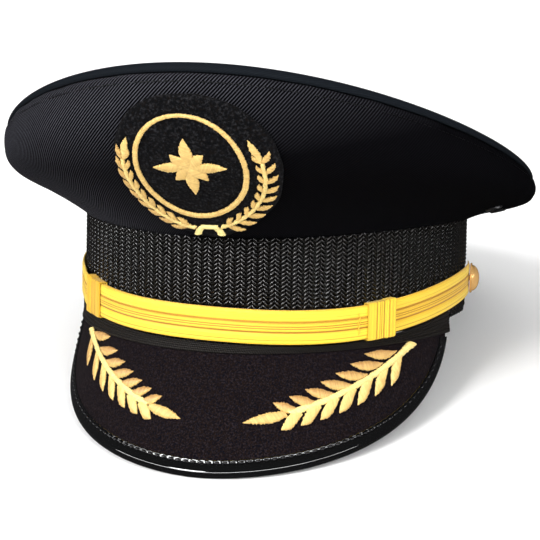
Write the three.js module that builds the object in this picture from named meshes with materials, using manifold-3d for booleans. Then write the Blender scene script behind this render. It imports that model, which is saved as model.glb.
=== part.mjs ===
// A peaked uniform cap: a wide crown over a ribbed band, a steep cloth-covered peak with a
// patent binding, a gold strap with two buttons, gold branches on the peak and a round badge.
// Millimetres. The cap is drawn upright: Z = 0 is the band's bottom edge at the front, the peak
// points to -Y, and phi is the angle round the head from the front, positive towards +X.
// The finished cap is then tipped forward onto its peak and the back of its band, as it lies.
import * as THREE from "three";
import { mergeVertices } from "three/addons/utils/BufferGeometryUtils.js";
import Module from "manifold-3d";

const wasm = await Module();
wasm.setup();

// Driving dimensions
const GAP = 0.3; // air between neighbouring pieces
const TURNS = 56; // facets round the head
const PRESSED = 0.6; // how far the resting edges are flattened

const BAND = {
  halfWidth: 90.8, halfLength: 99.2, wall: 3, // outer oval, for a 58 cm head
  front: 45, // height at the front
  topBack: -6, topSide: 8.4, // how the top edge falls to the back and rises at the sides
  bottomBack: 5.5, bottomSide: 4.7, // the same for the bottom edge
};
const CROWN = {
  halfWidth: 122.5, halfLength: 142, forward: -9.9, wall: 2, // the seam ring of the top panel
  rise: 33.4, riseFront: 28.5, riseEnds: 6.1, // its height over the band, tilt and saddle
  leave: 28.5, leaveFront: 13.9, leavePull: 0.47, // angle and pull of the side at the band
  arrive: 114.9, arriveFront: -16.6, arrivePull: 0.38, // the same at the seam ring
  roll: 3.9, sink: 2, // rolled edge of the top panel, and how far the panel sags
};
const PEAK = {
  end: 74.3, dip: 3.3, // half angle of its seam, and how the seam falls to the sides
  length: 56.7, fullness: 1.7, blunt: 0.625, // depth at the middle and shape of its edge
  slope: 65, slopeSide: 23.5, wall: 2.5, // steepness under the horizontal, and more at the sides
  last: 0.985, steps: 34, // share of the seam that is built, and facets along it
};
const RIM = { width: 6.3, wall: 0.9 }; // patent binding folded round the edge of the peak
const TRIM = { down: 4.1, wall: 1.4, groove: 0.45, ribs: 5, steps: 22 }; // ribbed braid over the seam
const STRAP = {
  width: 14.5, wall: 1, lift: 1.3, // lift leaves room for the keepers behind it
  front: 8.7, rise: 14.6, bend: 3.3, lean: 2.9, // height of its middle line round the band
  button: 97, tail: 5, // angle of the buttons, and of the strap past them
  steps: 34,
};
const KEEPER = { inner: 40.3, outer: 48.6, wall: 0.7 }; // angles of its two ends
const BUTTON = { radius: 7.2, dome: 3.4, flange: 1, shank: 1.2, facets: 14 };
const EYELET = { hole: 2.2, flange: 4, height: 0.9, angles: [84, 97], up: 0.3, facets: 10 };
const BRANCH = {
  centre: 2.5, start: [92.4, 5.9], bow: [55.5, 26.4], tip: [13.8, 34], // stem, mm round and down
  left: 0.905, // how much shorter the left branch is
  stemEnd: 0.76, stemWidth: 2.6, pairs: 7, leafWidth: 4.4, height: 1.1,
};
const BRANCH_LEAVES = [
  // where the first leaf starts, spacing, length, how the length shrinks, angle and its change
  { side: "upper", first: 86.7, step: 7.8, length: 20.5, shrink: 1, angle: -2, turn: -2.2 },
  { side: "lower", first: 88.2, step: 7.85, length: 15.4, shrink: 0.3, angle: 66, turn: -5 },
];
// Where the middle of the badge lies on the crown's front, and how the flat badge bends with it
const LAY = { x: 0.3, up: 52.6, lean: 0.037, sag: 0.0064, sway: 0.00195 };
const PATCH = { x: 2.2, y: 1, halfWidth: 34.1, halfHeight: 40.1, wall: 2.4, air: 0.6, facets: 28 };
const RING = { halfWidth: 22.2, halfHeight: 27.1, width: 2.2, height: 1.1 };
const WREATH = {
  x: 0.6, y: -1.1, halfWidth: 28.6, halfHeight: 32.7,
  fromLeft: 8, fromRight: 14, to: 100, // degrees from the bottom
  stemWidth: 1.6, pairs: 9, leafWidth: 2.5, tipLength: 12, tipWidth: 3.2, tipLean: 10, height: 1,
};
const WREATH_LEAVES = [
  // branch, which row, angle from the stem and length
  { side: -1, row: -1, spread: 15, length: 8.5 },
  { side: -1, row: 1, spread: 25, length: 6.6 },
  { side: 1, row: -1, spread: 34, length: 7.9 },
  { side: 1, row: 1, spread: 31, length: 5.3 },
];
const BOW = { x: 2.3, y: -32.1, bar: 7.3, width: 12.8, height: 4.6, leg: 2.8, notch: 1.9, thickness: 1 };
const STAR = { points: 8, long: 15, short: 9.5, width: 5, height: 1.1 };

const CLOTH = { color: 0x15161a, roughness: 0.9, metalness: 0 };
const WEBBING = { color: 0x191817, roughness: 0.45, metalness: 0 };
const FELT = { color: 0x161215, roughness: 1, metalness: 0 };
const PATENT = { color: 0x050505, roughness: 0.12, metalness: 0 };
const BRAID = { color: 0xf2c42e, roughness: 0.55, metalness: 0 };
const BULLION = { color: 0xe2c07c, roughness: 0.5, metalness: 0 };
const GILT = { color: 0xd9a441, roughness: 0.2, metalness: 1 };
const BLACKED = { color: 0x0c0c0d, roughness: 0.4, metalness: 0.6 };

const RAD = Math.PI / 180;
const UP = new THREE.Vector3(0, 0, 1);
const V3 = (x, y, z) => new THREE.Vector3(x, y, z);
const smooth = (x, from, to) => THREE.MathUtils.smoothstep(x, from, to);
const range = (from, to, steps) =>
  Array.from({ length: steps + 1 }, (_, i) => from + ((to - from) * i) / steps);

// Surfaces of the cap

// Waves that hold a height's change to the back, and to the sides.
const toBack = (phi) => (1 - Math.cos(phi)) / 2;
const toSide = (phi) => (1 - Math.cos(2 * phi)) / 2;

function outward(phi, halfWidth, halfLength) {
  return V3(halfLength * Math.sin(phi), -halfWidth * Math.cos(phi), 0).normalize();
}

const bandOut = (phi) => outward(phi, BAND.halfWidth, BAND.halfLength);
const bandTop = (phi) => BAND.front + BAND.topBack * toBack(phi) + BAND.topSide * toSide(phi);
const bandBottom = (phi) => BAND.bottomBack * toBack(phi) + BAND.bottomSide * toSide(phi);

// A point on the band's wall at height z, h proud of it.
function bandPoint(phi, z, h) {
  return V3(BAND.halfWidth * Math.sin(phi), -BAND.halfLength * Math.cos(phi), z).addScaledVector(bandOut(phi), h);
}

// The seam ring between the crown's side and its top panel; r < 1 lies inside it on the panel.
function panelPoint(phi, r) {
  const height = BAND.front + CROWN.rise + CROWN.riseFront * r * Math.cos(phi)
    + CROWN.riseEnds * r * r * Math.cos(2 * phi);
  return V3(CROWN.halfWidth * r * Math.sin(phi), CROWN.forward - CROWN.halfLength * r * Math.cos(phi), height);
}

// The crown's side at angle phi: a cubic from the band's top edge to the seam ring.
function crownCurve(phi) {
  const foot = bandPoint(phi, bandTop(phi), 0);
  const head = panelPoint(phi, 1);
  const out = outward(phi, CROWN.halfWidth, CROWN.halfLength);
  const reach = foot.distanceTo(head);
  const leave = (CROWN.leave + CROWN.leaveFront * Math.cos(phi)) * RAD;
  const arrive = (CROWN.arrive + CROWN.arriveFront * Math.cos(phi)) * RAD;
  const along = (angle, length) =>
    out.clone().multiplyScalar(length * Math.cos(angle)).addScaledVector(UP, length * Math.sin(angle));
  return new THREE.CubicBezierCurve3(
    foot,
    foot.clone().add(along(leave, reach * CROWN.leavePull)),
    head.clone().sub(along(arrive, reach * CROWN.arrivePull)),
    head,
  );
}

function crownNormal(phi, v) {
  const step = 0.01;
  const low = Math.max(v - step, 0);
  const high = Math.min(v + step, 1);
  const round = crownCurve(phi + step).getPoint(v).sub(crownCurve(phi - step).getPoint(v));
  const upward = crownCurve(phi).getPoint(high).sub(crownCurve(phi).getPoint(low));
  return round.cross(upward).normalize();
}

function crownPoint(phi, v, h) {
  return crownCurve(phi).getPoint(v).addScaledVector(crownNormal(phi, v), h);
}

// A point on the peak: phi round the head, d mm down its slope, h proud of its top face.
const peakSeam = (phi) => bandBottom(phi) - PEAK.dip * (1 - Math.cos(phi)) ** 2 - GAP;

function peakPoint(phi, d, h) {
  const out = bandOut(phi);
  const slope = (PEAK.slope + PEAK.slopeSide * (1 - Math.cos(phi))) * RAD;
  return bandPoint(phi, peakSeam(phi), 0)
    .addScaledVector(out, d * Math.cos(slope) + h * Math.sin(slope))
    .addScaledVector(UP, -d * Math.sin(slope) + h * Math.cos(slope));
}

// The same with u mm round the peak in place of phi: the cone widens down the slope.
const SPREAD = 0.36;
const peakRadius = (d) => (BAND.halfWidth + BAND.halfLength) / 2 + 1 + SPREAD * d;
const onPeak = (u, d, h) => peakPoint(u / peakRadius(d), d, h);

// Depth of the peak at share s of its seam, from -1 to 1.
const peakDepth = (s) => PEAK.length * (1 - Math.abs(s) ** PEAK.fullness) ** PEAK.blunt;

// Shares of the seam, closer together at the corners where the edge turns fast.
const peakShares = range(-1, 1, PEAK.steps).map((t) => PEAK.last * Math.sin((t * Math.PI) / 2));

// A point on the front of the crown: x mm to the side and s mm up from the band.
const frontCurve = crownCurve(0);
const frontLength = frontCurve.getLength();

function onFront(x, s, h) {
  const v = frontCurve.getUtoTmapping(s / frontLength);
  const probe = 10 * RAD;
  const radius = crownCurve(probe).getPoint(v).x / Math.sin(probe);
  return crownPoint(Math.asin(x / radius), v, h);
}

// A point of the badge: x and y from the middle of its ring, h proud of the crown.
function onBadge(x, y, h) {
  return onFront(LAY.x + x + LAY.lean * y - LAY.sway * y * y, LAY.up + y - LAY.sag * y * y, h);
}

// Height of the strap's middle line on the band.
function strapHeight(phi) {
  const turn = Math.min(Math.abs(phi) / (STRAP.button * RAD), 1);
  return STRAP.front + STRAP.rise * Math.sin((turn * Math.PI) / 2) ** STRAP.bend
    - (STRAP.lean * Math.sin(phi) * (1 + Math.cos(phi))) / 2;
}

// Solids

// A closed surface from points and triangles, with its faces turned outward.
function closedSurface(points, faces) {
  const geometry = new THREE.BufferGeometry();
  geometry.setAttribute("position", new THREE.Float32BufferAttribute(points.flatMap((p) => p.toArray()), 3));
  const volume = faces.reduce((sum, [a, b, c]) => sum + points[a].dot(points[b].clone().cross(points[c])), 0);
  geometry.setIndex(faces.flatMap(([a, b, c]) => (volume < 0 ? [a, c, b] : [a, b, c])));
  geometry.computeVertexNormals();
  return geometry;
}

// Joins loops of points, one after the other. Open ends are closed by triangles over the loop,
// whose flat outline in the section's own two directions says how to lay them.
function loft(loops, { closed = false, outline = null } = {}) {
  const count = loops[0].length;
  const points = loops.flat();
  const faces = [];
  for (let i = 0; i < loops.length - (closed ? 0 : 1); i++) {
    const next = (i + 1) % loops.length;
    for (let j = 0; j < count; j++) {
      const k = (j + 1) % count;
      const [a, b, c, d] = [i * count + j, i * count + k, next * count + k, next * count + j];
      faces.push([a, b, c], [a, c, d]);
    }
  }
  if (!closed && outline) {
    const last = (loops.length - 1) * count;
    for (const [a, b, c] of THREE.ShapeUtils.triangulateShape(outline, [])) {
      const side = outlineTurnsLeft(outline) ? [a, c, b] : [a, b, c];
      faces.push(side, side.map((n) => last + n).reverse());
    }
  } else if (!closed) {
    for (const [first, flip] of [[0, true], [(loops.length - 1) * count, false]]) {
      const centre = points.length;
      points.push(loops[first / count].reduce((sum, p) => sum.add(p), V3(0, 0, 0)).divideScalar(count));
      for (let j = 0; j < count; j++) {
        const [a, b] = [first + j, first + ((j + 1) % count)];
        faces.push(flip ? [centre, b, a] : [centre, a, b]);
      }
    }
  }
  return closedSurface(points, faces);
}

const outlineTurnsLeft = (outline) => THREE.ShapeUtils.area(outline) > 0;

// A manifold solid of a geometry, and back.
function solid(geometry) {
  const bare = geometry.clone();
  bare.deleteAttribute("normal");
  bare.deleteAttribute("uv");
  const merged = mergeVertices(bare, 1e-4);
  return new wasm.Manifold(new wasm.Mesh({
    numProp: 3,
    vertProperties: merged.attributes.position.array,
    triVerts: new Uint32Array(merged.index.array),
  }));
}

function geometryOf(made) {
  const mesh = made.getMesh();
  const geometry = new THREE.BufferGeometry();
  geometry.setAttribute("position", new THREE.BufferAttribute(mesh.vertProperties, 3));
  geometry.setIndex(new THREE.BufferAttribute(mesh.triVerts, 1));
  geometry.computeVertexNormals();
  return geometry;
}

const joined = (parts) => geometryOf(parts.map(solid).reduce((sum, part) => sum.add(part)));
const cut = (body, holes) => geometryOf(holes.map(solid).reduce((left, hole) => left.subtract(hole), solid(body)));

// A padded strip of stitching on a surface: a low roof along a line of [x, y, half width].
function stitched(onSurface, line, base, height) {
  return loft(line.map(([x, y, half], i) => {
    const [before, after] = [line[Math.max(i - 1, 0)], line[Math.min(i + 1, line.length - 1)]];
    const along = new THREE.Vector2(after[0] - before[0], after[1] - before[1]).normalize();
    const [acrossX, acrossY] = [-along.y * half, along.x * half];
    return [
      onSurface(x - acrossX, y - acrossY, base),
      onSurface(x, y, base + height),
      onSurface(x + acrossX, y + acrossY, base),
    ];
  }));
}

// A leaf from [x, y] at an angle, as such a strip. Its shape is places along it and half widths.
const LEAF = [[0, 0.06], [0.4, 0.5], [0.75, 0.38], [1, 0.04]];
const SMALL_LEAF = [[0, 0.15], [0.55, 0.5], [1, 0.06]];

function leafLine([x, y], angle, length, width, shape = LEAF) {
  return shape.map(([t, half]) => [
    x + Math.cos(angle) * length * t, y + Math.sin(angle) * length * t, half * width,
  ]);
}

// Pieces

const cap = new THREE.Group();

function addPiece(name, geometry, finish) {
  const mesh = new THREE.Mesh(geometry, new THREE.MeshStandardMaterial(finish));
  mesh.name = name;
  cap.add(mesh);
  return mesh;
}

const roundHead = range(0, 2 * Math.PI, TURNS).slice(0, TURNS);

function makeBand() {
  const loops = roundHead.map((phi) => {
    const [low, high] = [bandBottom(phi), bandTop(phi) - GAP];
    return [[low, 0], [high, 0], [high, -BAND.wall], [low, -BAND.wall], [low, -BAND.wall / 2]]
      .map(([z, h]) => bandPoint(phi, z, h));
  });
  addPiece("band", pressFlat(loft(loops, { closed: true })), WEBBING);
}

function eyeletPlaces() {
  return [-1, 1].flatMap((side) => EYELET.angles.map((angle, i) => {
    const phi = side * angle * RAD;
    return {
      name: `eyelet_${side < 0 ? "left" : "right"}_${["front", "back"][i]}`,
      place: crownPoint(phi, EYELET.up, 0),
      out: crownNormal(phi, EYELET.up),
    };
  }));
}

function makeCrown() {
  const outer = [0, 0.14, 0.3, 0.48, 0.66, 0.84, 1];
  const inner = [1, 0.7, 0.35, 0];
  const side = loft(roundHead.map((phi) => [
    ...outer.map((v) => crownPoint(phi, v, 0)),
    ...inner.map((v) => crownPoint(phi, v, -CROWN.wall)),
  ]), { closed: true });
  const drills = eyeletPlaces().map(({ place, out }) =>
    new THREE.CylinderGeometry(EYELET.hole, EYELET.hole, 4 * CROWN.wall, EYELET.facets)
      .applyQuaternion(new THREE.Quaternion().setFromUnitVectors(V3(0, 1, 0), out))
      .translate(place.x, place.y, place.z));
  addPiece("crown_side", cut(side, drills), CLOTH);

  // The top panel: rolled edge, then the sagging panel, then the same underneath.
  const rolled = (phi, turn, radius) => panelPoint(phi, 1)
    .addScaledVector(outward(phi, CROWN.halfWidth, CROWN.halfLength), radius * Math.cos(turn) - CROWN.roll)
    .addScaledVector(UP, radius * Math.sin(turn) + GAP);
  const panel = (phi, r, h) =>
    panelPoint(phi, r).addScaledVector(UP, CROWN.roll + GAP + h - CROWN.sink * (1 - r * r));
  const rings = [
    ...[0.3, 0.8].map((r) => (phi) => panel(phi, r, 0)),
    ...[90, 60, 30, 0].map((turn) => (phi) => rolled(phi, turn * RAD, CROWN.roll)),
    ...[0, 60].map((turn) => (phi) => rolled(phi, turn * RAD, CROWN.roll - CROWN.wall)),
    ...[0.8, 0.3].map((r) => (phi) => panel(phi, r, -CROWN.wall)),
  ];
  addPiece("crown_top", loft(rings.map((ring) => roundHead.map(ring))), CLOTH);
}

function makeEyelets() {
  const { hole, flange, height, facets } = EYELET;
  const profile = [[hole, 0], [flange, 0], [(hole + flange) / 2, height], [hole, height / 2], [hole, 0]]
    .map(([r, y]) => new THREE.Vector2(r, y + GAP));
  for (const { name, place, out } of eyeletPlaces()) {
    const eyelet = addPiece(name, new THREE.LatheGeometry(profile, facets), BLACKED);
    eyelet.position.copy(place);
    eyelet.quaternion.setFromUnitVectors(V3(0, 1, 0), out);
  }
}

function makePeak() {
  const down = [0, 0.25, 0.5, 0.75, 1];
  const under = [1, 0.5, 0];
  const loops = peakShares.map((s) => {
    const [phi, depth] = [s * PEAK.end * RAD, peakDepth(s)];
    return [
      ...down.map((k) => peakPoint(phi, depth * k, 0)),
      ...under.map((k) => peakPoint(phi, depth * k, -PEAK.wall)),
    ];
  });
  addPiece("peak", loft(loops), FELT);
}

// The binding: a folded strip along the peak's edge, set square to the edge on both faces.
function makeRim() {
  const { width, wall } = RIM;
  const [top, bottom] = [GAP, -PEAK.wall - GAP];
  const section = [
    [width, top], [width, top + wall], [0, top + wall], [-GAP - wall, top], // inwards, height
    [-GAP - wall, bottom], [0, bottom - wall], [width, bottom - wall], [width, bottom],
    [-GAP, bottom], [-GAP, top],
  ];
  const edge = peakShares.map((s) => new THREE.Vector2(s * PEAK.end * RAD * peakRadius(peakDepth(s)), peakDepth(s)));
  const loops = edge.map((point, i) => {
    const along = edge[Math.min(i + 1, edge.length - 1)].clone().sub(edge[Math.max(i - 1, 0)]).normalize();
    const inwards = new THREE.Vector2(along.y, -along.x);
    return section.map(([w, h]) => onPeak(point.x + inwards.x * w, point.y + inwards.y * w, h));
  });
  const outline = section.map(([w, h]) => new THREE.Vector2(w, h));
  addPiece("peak_rim", pressFlat(loft(loops, { outline })), PATENT);
}

// The ribbed braid that covers the joint of band and peak, from the strap down onto the peak.
function makeTrim() {
  const crests = 2 * TRIM.ribs;
  const loops = range(-1, 1, TRIM.steps).map((t) => {
    const phi = t * (PEAK.end + 0.6) * RAD;
    const high = strapHeight(phi) - STRAP.width / 2 - KEEPER.wall - 2 * GAP;
    const fold = peakSeam(phi) + GAP;
    const onBand = high - fold;
    const length = onBand + TRIM.down;
    const place = (a, h) => (a < onBand ? bandPoint(phi, high - a, h) : peakPoint(phi, a - onBand, h));
    const outer = range(0, 1, crests).map((a, i) => place(a * length, TRIM.wall - (i % 2 ? 0 : TRIM.groove)));
    return [...outer, peakPoint(phi, TRIM.down, GAP), peakPoint(phi, 0.6, GAP), bandPoint(phi, high, GAP)];
  });
  const outline = [
    ...range(0, 1, crests).map((a, i) => new THREE.Vector2(a, i % 2 ? 1 : 0.7)),
    new THREE.Vector2(1, 0), new THREE.Vector2(0.5, 0), new THREE.Vector2(0, 0),
  ];
  addPiece("peak_trim", loft(loops, { outline }), WEBBING);
}

// One half of the strap, between two angles in degrees, h(phi) above the band.
function strapGeometry(from, to, height) {
  return loft(range(from * RAD, to * RAD, STRAP.steps).map((phi) => {
    const [middle, half, h] = [strapHeight(phi), STRAP.width / 2, height(phi)];
    return [[-half, h], [half, h], [half, h + STRAP.wall], [-half, h + STRAP.wall]]
      .map(([z, g]) => bandPoint(phi, middle + z, g));
  }));
}

const shankHole = (side) => {
  const phi = side * STRAP.button * RAD;
  const place = bandPoint(phi, strapHeight(phi), STRAP.lift);
  const radius = BUTTON.shank + GAP;
  return new THREE.CylinderGeometry(radius, radius, 4 * STRAP.wall, EYELET.facets)
    .applyQuaternion(new THREE.Quaternion().setFromUnitVectors(V3(0, 1, 0), bandOut(phi)))
    .translate(place.x, place.y, place.z);
};

function makeStraps() {
  const end = STRAP.button + STRAP.tail;
  const keeperMiddle = (KEEPER.inner + KEEPER.outer) / 2;
  const over = STRAP.wall + GAP;
  const crossing = [-(KEEPER.outer + 12) * RAD, -(KEEPER.outer + 1) * RAD];
  const inner = strapGeometry(-keeperMiddle, end, () => STRAP.lift);
  const outer = strapGeometry(-end, keeperMiddle, (phi) => STRAP.lift + over * smooth(phi, ...crossing));
  addPiece("strap_inner", cut(inner, [shankHole(1)]), BRAID);
  addPiece("strap_outer", cut(outer, [shankHole(-1)]), BRAID);

  // Keepers: flat loops round both layers.
  const [back, front] = [STRAP.lift - GAP, STRAP.lift + STRAP.wall + over + GAP];
  const half = STRAP.width / 2 + GAP;
  const wall = KEEPER.wall;
  const round = [[half, back], [half, front], [-half, front], [-half, back]]; // height, depth
  for (const side of [-1, 1]) {
    const angles = range(KEEPER.inner, KEEPER.outer, 3).map((angle) => side * angle * RAD);
    const loops = round.map(([z, h]) => {
      const [zOut, hOut] = [z + Math.sign(z) * wall, h + (h === back ? -wall : wall)];
      const at = (phi, dz, g) => bandPoint(phi, strapHeight(phi) + dz, g);
      return [...angles.map((phi) => at(phi, z, h)), ...angles.toReversed().map((phi) => at(phi, zOut, hOut))];
    });
    addPiece(side < 0 ? "keeper_left" : "keeper_right", loft(loops, { closed: true }), BRAID);
  }
}

function makeButtons() {
  const { radius, dome, flange, shank, facets } = BUTTON;
  const seat = STRAP.lift + STRAP.wall + GAP;
  const turns = [75, 50, 25];
  const profile = [
    [0, GAP], [shank, GAP], [shank, seat], [radius - 0.3, seat], [radius, seat + flange / 2],
    [radius - 0.4, seat + flange],
    ...turns.map((angle) => [
      (radius - 1) * Math.sin(angle * RAD), seat + flange + (dome * (Math.cos(angle * RAD))),
    ]),
    [0, seat + flange + dome],
  ].map(([r, y]) => new THREE.Vector2(r, y));
  for (const side of [-1, 1]) {
    const phi = side * STRAP.button * RAD;
    const button = addPiece(side < 0 ? "button_left" : "button_right", new THREE.LatheGeometry(profile, facets), GILT);
    button.position.copy(bandPoint(phi, strapHeight(phi), 0));
    button.quaternion.setFromUnitVectors(V3(0, 1, 0), bandOut(phi));
  }
}

// The two branches on the peak: a stem, leaves on both sides of it and one at its tip.
function makeBranches() {
  const curve = new THREE.QuadraticBezierCurve(
    ...[BRANCH.start, BRANCH.bow, BRANCH.tip].map(([u, d]) => new THREE.Vector2(u, d)),
  );
  const stemLine = range(0, BRANCH.stemEnd, 8).map((t) => [...curve.getPoint(t).toArray(), BRANCH.stemWidth / 2]);
  const heightAt = (u) => {
    const after = stemLine.findIndex(([x]) => x < u);
    const [[u0, d0], [u1, d1]] = [stemLine[after - 1], stemLine[after]];
    return THREE.MathUtils.mapLinear(u, u0, u1, d0, d1);
  };
  const tipFrom = curve.getPoint(BRANCH.stemEnd);
  const tipTo = curve.getPoint(1);
  const leaves = BRANCH_LEAVES.flatMap((row) => Array.from({ length: BRANCH.pairs }, (_, i) => {
    const u = row.first - row.step * i;
    const angle = (row.angle + row.turn * i) * RAD;
    return leafLine([u, heightAt(u)], Math.PI - angle, row.length - row.shrink * i, BRANCH.leafWidth);
  }));
  const tip = leafLine(
    tipFrom.toArray(), Math.atan2(tipTo.y - tipFrom.y, tipTo.x - tipFrom.x),
    tipFrom.distanceTo(tipTo), BRANCH.leafWidth,
  );
  for (const side of [-1, 1]) {
    const reach = side < 0 ? BRANCH.left : 1;
    const onSide = (u, d, h) => onPeak(BRANCH.centre + side * (BRANCH.tip[0] + reach * (u - BRANCH.tip[0])), d, h);
    const strips = [stemLine, tip, ...leaves].map((line) => stitched(onSide, line, GAP, BRANCH.height));
    addPiece(side < 0 ? "peak_branch_left" : "peak_branch_right", joined(strips), BULLION);
  }
}

// The badge: a felt oval on the front of the crown, with raised stitching on it.
const badgeFace = PATCH.air + PATCH.wall + GAP;

function makeBadge() {
  const around = range(0, 2 * Math.PI, PATCH.facets).slice(0, PATCH.facets);
  const ovalRing = (r, h) => around.map((a) =>
    onBadge(PATCH.x + PATCH.halfWidth * r * Math.sin(a), PATCH.y - PATCH.halfHeight * r * Math.cos(a), h));
  const face = PATCH.air + PATCH.wall;
  const rings = [
    [0.3, face], [0.62, face], [0.94, face], [1, face - 0.9], // share of the oval, height
    [1, PATCH.air], [0.75, PATCH.air], [0.5, PATCH.air], [0.25, PATCH.air],
  ];
  addPiece("badge_patch", loft(rings.map(([r, h]) => ovalRing(r, h))), FELT);

  const half = RING.width / 2;
  const ringSection = [[-half, 0], [-half / 2, RING.height], [half / 2, RING.height], [half, 0]];
  addPiece("badge_ring", loft(around.map((a) => ringSection.map(([w, h]) =>
    onBadge((RING.halfWidth + w) * Math.sin(a), -(RING.halfHeight + w) * Math.cos(a), badgeFace + h),
  )), { closed: true }), BULLION);

  const rays = Array.from({ length: STAR.points }, (_, i) => leafLine(
    [0, 0], (i * 2 * Math.PI) / STAR.points, i % 2 ? STAR.short : STAR.long, STAR.width,
  ));
  addPiece("badge_star", joined(rays.map((line) => stitched(onBadge, line, badgeFace, STAR.height))), BULLION);
}

function makeWreath() {
  for (const side of [-1, 1]) {
    const [from, to] = [(side < 0 ? WREATH.fromLeft : WREATH.fromRight) * RAD, WREATH.to * RAD];
    const at = (a) => [
      WREATH.x + side * WREATH.halfWidth * Math.sin(a), WREATH.y - WREATH.halfHeight * Math.cos(a),
    ];
    const heading = (a, lean) => side * lean * RAD
      + Math.atan2(WREATH.halfHeight * Math.sin(a), side * WREATH.halfWidth * Math.cos(a));
    const stem = range(from, to, 7).map((a) => [...at(a), WREATH.stemWidth / 2]);
    const rows = WREATH_LEAVES.filter((row) => row.side === side);
    const leaves = range(from + 5 * RAD, to - RAD, WREATH.pairs - 1).flatMap((a) => rows.map(
      ({ row, spread, length }) => leafLine(at(a), heading(a, row * spread), length, WREATH.leafWidth, SMALL_LEAF),
    ));
    const tip = leafLine(at(to), heading(to, WREATH.tipLean), WREATH.tipLength, WREATH.tipWidth);
    const strips = [stem, tip, ...leaves].map((line) => stitched(onBadge, line, badgeFace, WREATH.height));
    addPiece(side < 0 ? "badge_wreath_left" : "badge_wreath_right", joined(strips), BULLION);
  }
}

// The bow that ties the wreath: a bar with two splayed ends.
function makeBow() {
  const { x, y, bar, width, height, leg, notch, thickness } = BOW;
  const [half, knot] = [width / 2, bar / 2];
  const outline = [
    [-knot, 0], [knot, 0], [half, -height], [half - leg, -height], [0, -notch],
    [leg - half, -height], [-half, -height],
  ].map(([dx, dy]) => new THREE.Vector2(x + dx, y + dy));
  const loops = [badgeFace, badgeFace + thickness].map((h) => outline.map((p) => onBadge(p.x, p.y, h)));
  addPiece("badge_bow", loft(loops, { outline }), BULLION);
}

// How the cap lies down

const backFoot = bandPoint(Math.PI, bandBottom(Math.PI), 0);
const frontFoot = onPeak(0, PEAK.length + GAP + RIM.wall, -PEAK.wall - GAP);
const tipped = Math.atan2(backFoot.z - frontFoot.z, backFoot.y - frontFoot.y);
const tilt = new THREE.Quaternion().setFromAxisAngle(V3(1, 0, 0), -tipped);
const floorNormal = UP.clone().applyQuaternion(tilt.clone().invert());
const floorLevel = backFoot.dot(floorNormal) + PRESSED;

// Lifts what would lie below the floor up to it, so that the resting edges are flat there.
function pressFlat(geometry) {
  const position = geometry.attributes.position;
  for (let i = 0; i < position.count; i++) {
    const point = V3(0, 0, 0).fromBufferAttribute(position, i);
    const below = floorLevel - point.dot(floorNormal);
    if (below > 0) position.setXYZ(i, ...point.addScaledVector(floorNormal, below).toArray());
  }
  return geometry;
}

makeBand();
makeCrown();
makeEyelets();
makePeak();
makeRim();
makeTrim();
makeStraps();
makeButtons();
makeBranches();
makeBadge();
makeWreath();
makeBow();

// The cap lies on Z = 0 with the middle of its outline over the origin.
cap.quaternion.copy(tilt);
const outlineBox = new THREE.Box3().setFromObject(cap, true);
const middle = outlineBox.getCenter(V3(0, 0, 0));
cap.position.set(-middle.x, -middle.y, -outlineBox.min.z);

const peakedCap = new THREE.Group();
peakedCap.add(cap);

export default peakedCap;
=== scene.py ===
"""Peaked uniform cap: cloth, webbing, braid, leather and stitching round the cap's fixed frame.

Shapes are worked out in millimetres on the upright cap, as the frame's solids are: Z = 0 is the
band's bottom edge at the front, the peak points to -Y, and phi is the angle round the head from
the front. lie() then lays them down in the frame, in metres.
"""

import math
from types import SimpleNamespace

import bpy
import numpy as np
from bpy.props import FloatProperty, FloatVectorProperty, IntProperty, PointerProperty
from mathutils import Matrix, Vector


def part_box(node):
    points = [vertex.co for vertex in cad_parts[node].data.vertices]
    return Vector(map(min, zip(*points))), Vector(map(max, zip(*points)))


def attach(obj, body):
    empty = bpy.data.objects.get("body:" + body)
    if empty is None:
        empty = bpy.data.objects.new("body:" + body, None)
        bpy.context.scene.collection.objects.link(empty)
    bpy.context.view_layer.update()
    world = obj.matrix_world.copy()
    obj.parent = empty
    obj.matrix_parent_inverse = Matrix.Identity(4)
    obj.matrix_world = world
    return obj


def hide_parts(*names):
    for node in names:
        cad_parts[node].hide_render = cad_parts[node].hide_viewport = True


bl_info = {
    "name": "Peaked Uniform Cap",
    "version": (1, 0, 0),
    "blender": (4, 5, 0),
    "location": "3D View > Sidebar > Cap",
    "description": "Dresses the frame of a peaked uniform cap in cloth, webbing, braid and stitching",
    "category": "Add Mesh",
}

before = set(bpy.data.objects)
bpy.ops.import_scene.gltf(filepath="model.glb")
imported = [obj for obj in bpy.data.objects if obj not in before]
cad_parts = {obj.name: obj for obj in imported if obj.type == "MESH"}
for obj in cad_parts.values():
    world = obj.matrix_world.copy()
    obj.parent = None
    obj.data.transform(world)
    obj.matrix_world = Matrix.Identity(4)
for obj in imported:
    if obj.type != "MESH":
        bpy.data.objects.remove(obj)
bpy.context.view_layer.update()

MM = 0.001
GAP = 0.3
UP = np.array([0.0, 0.0, 1.0])

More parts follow.
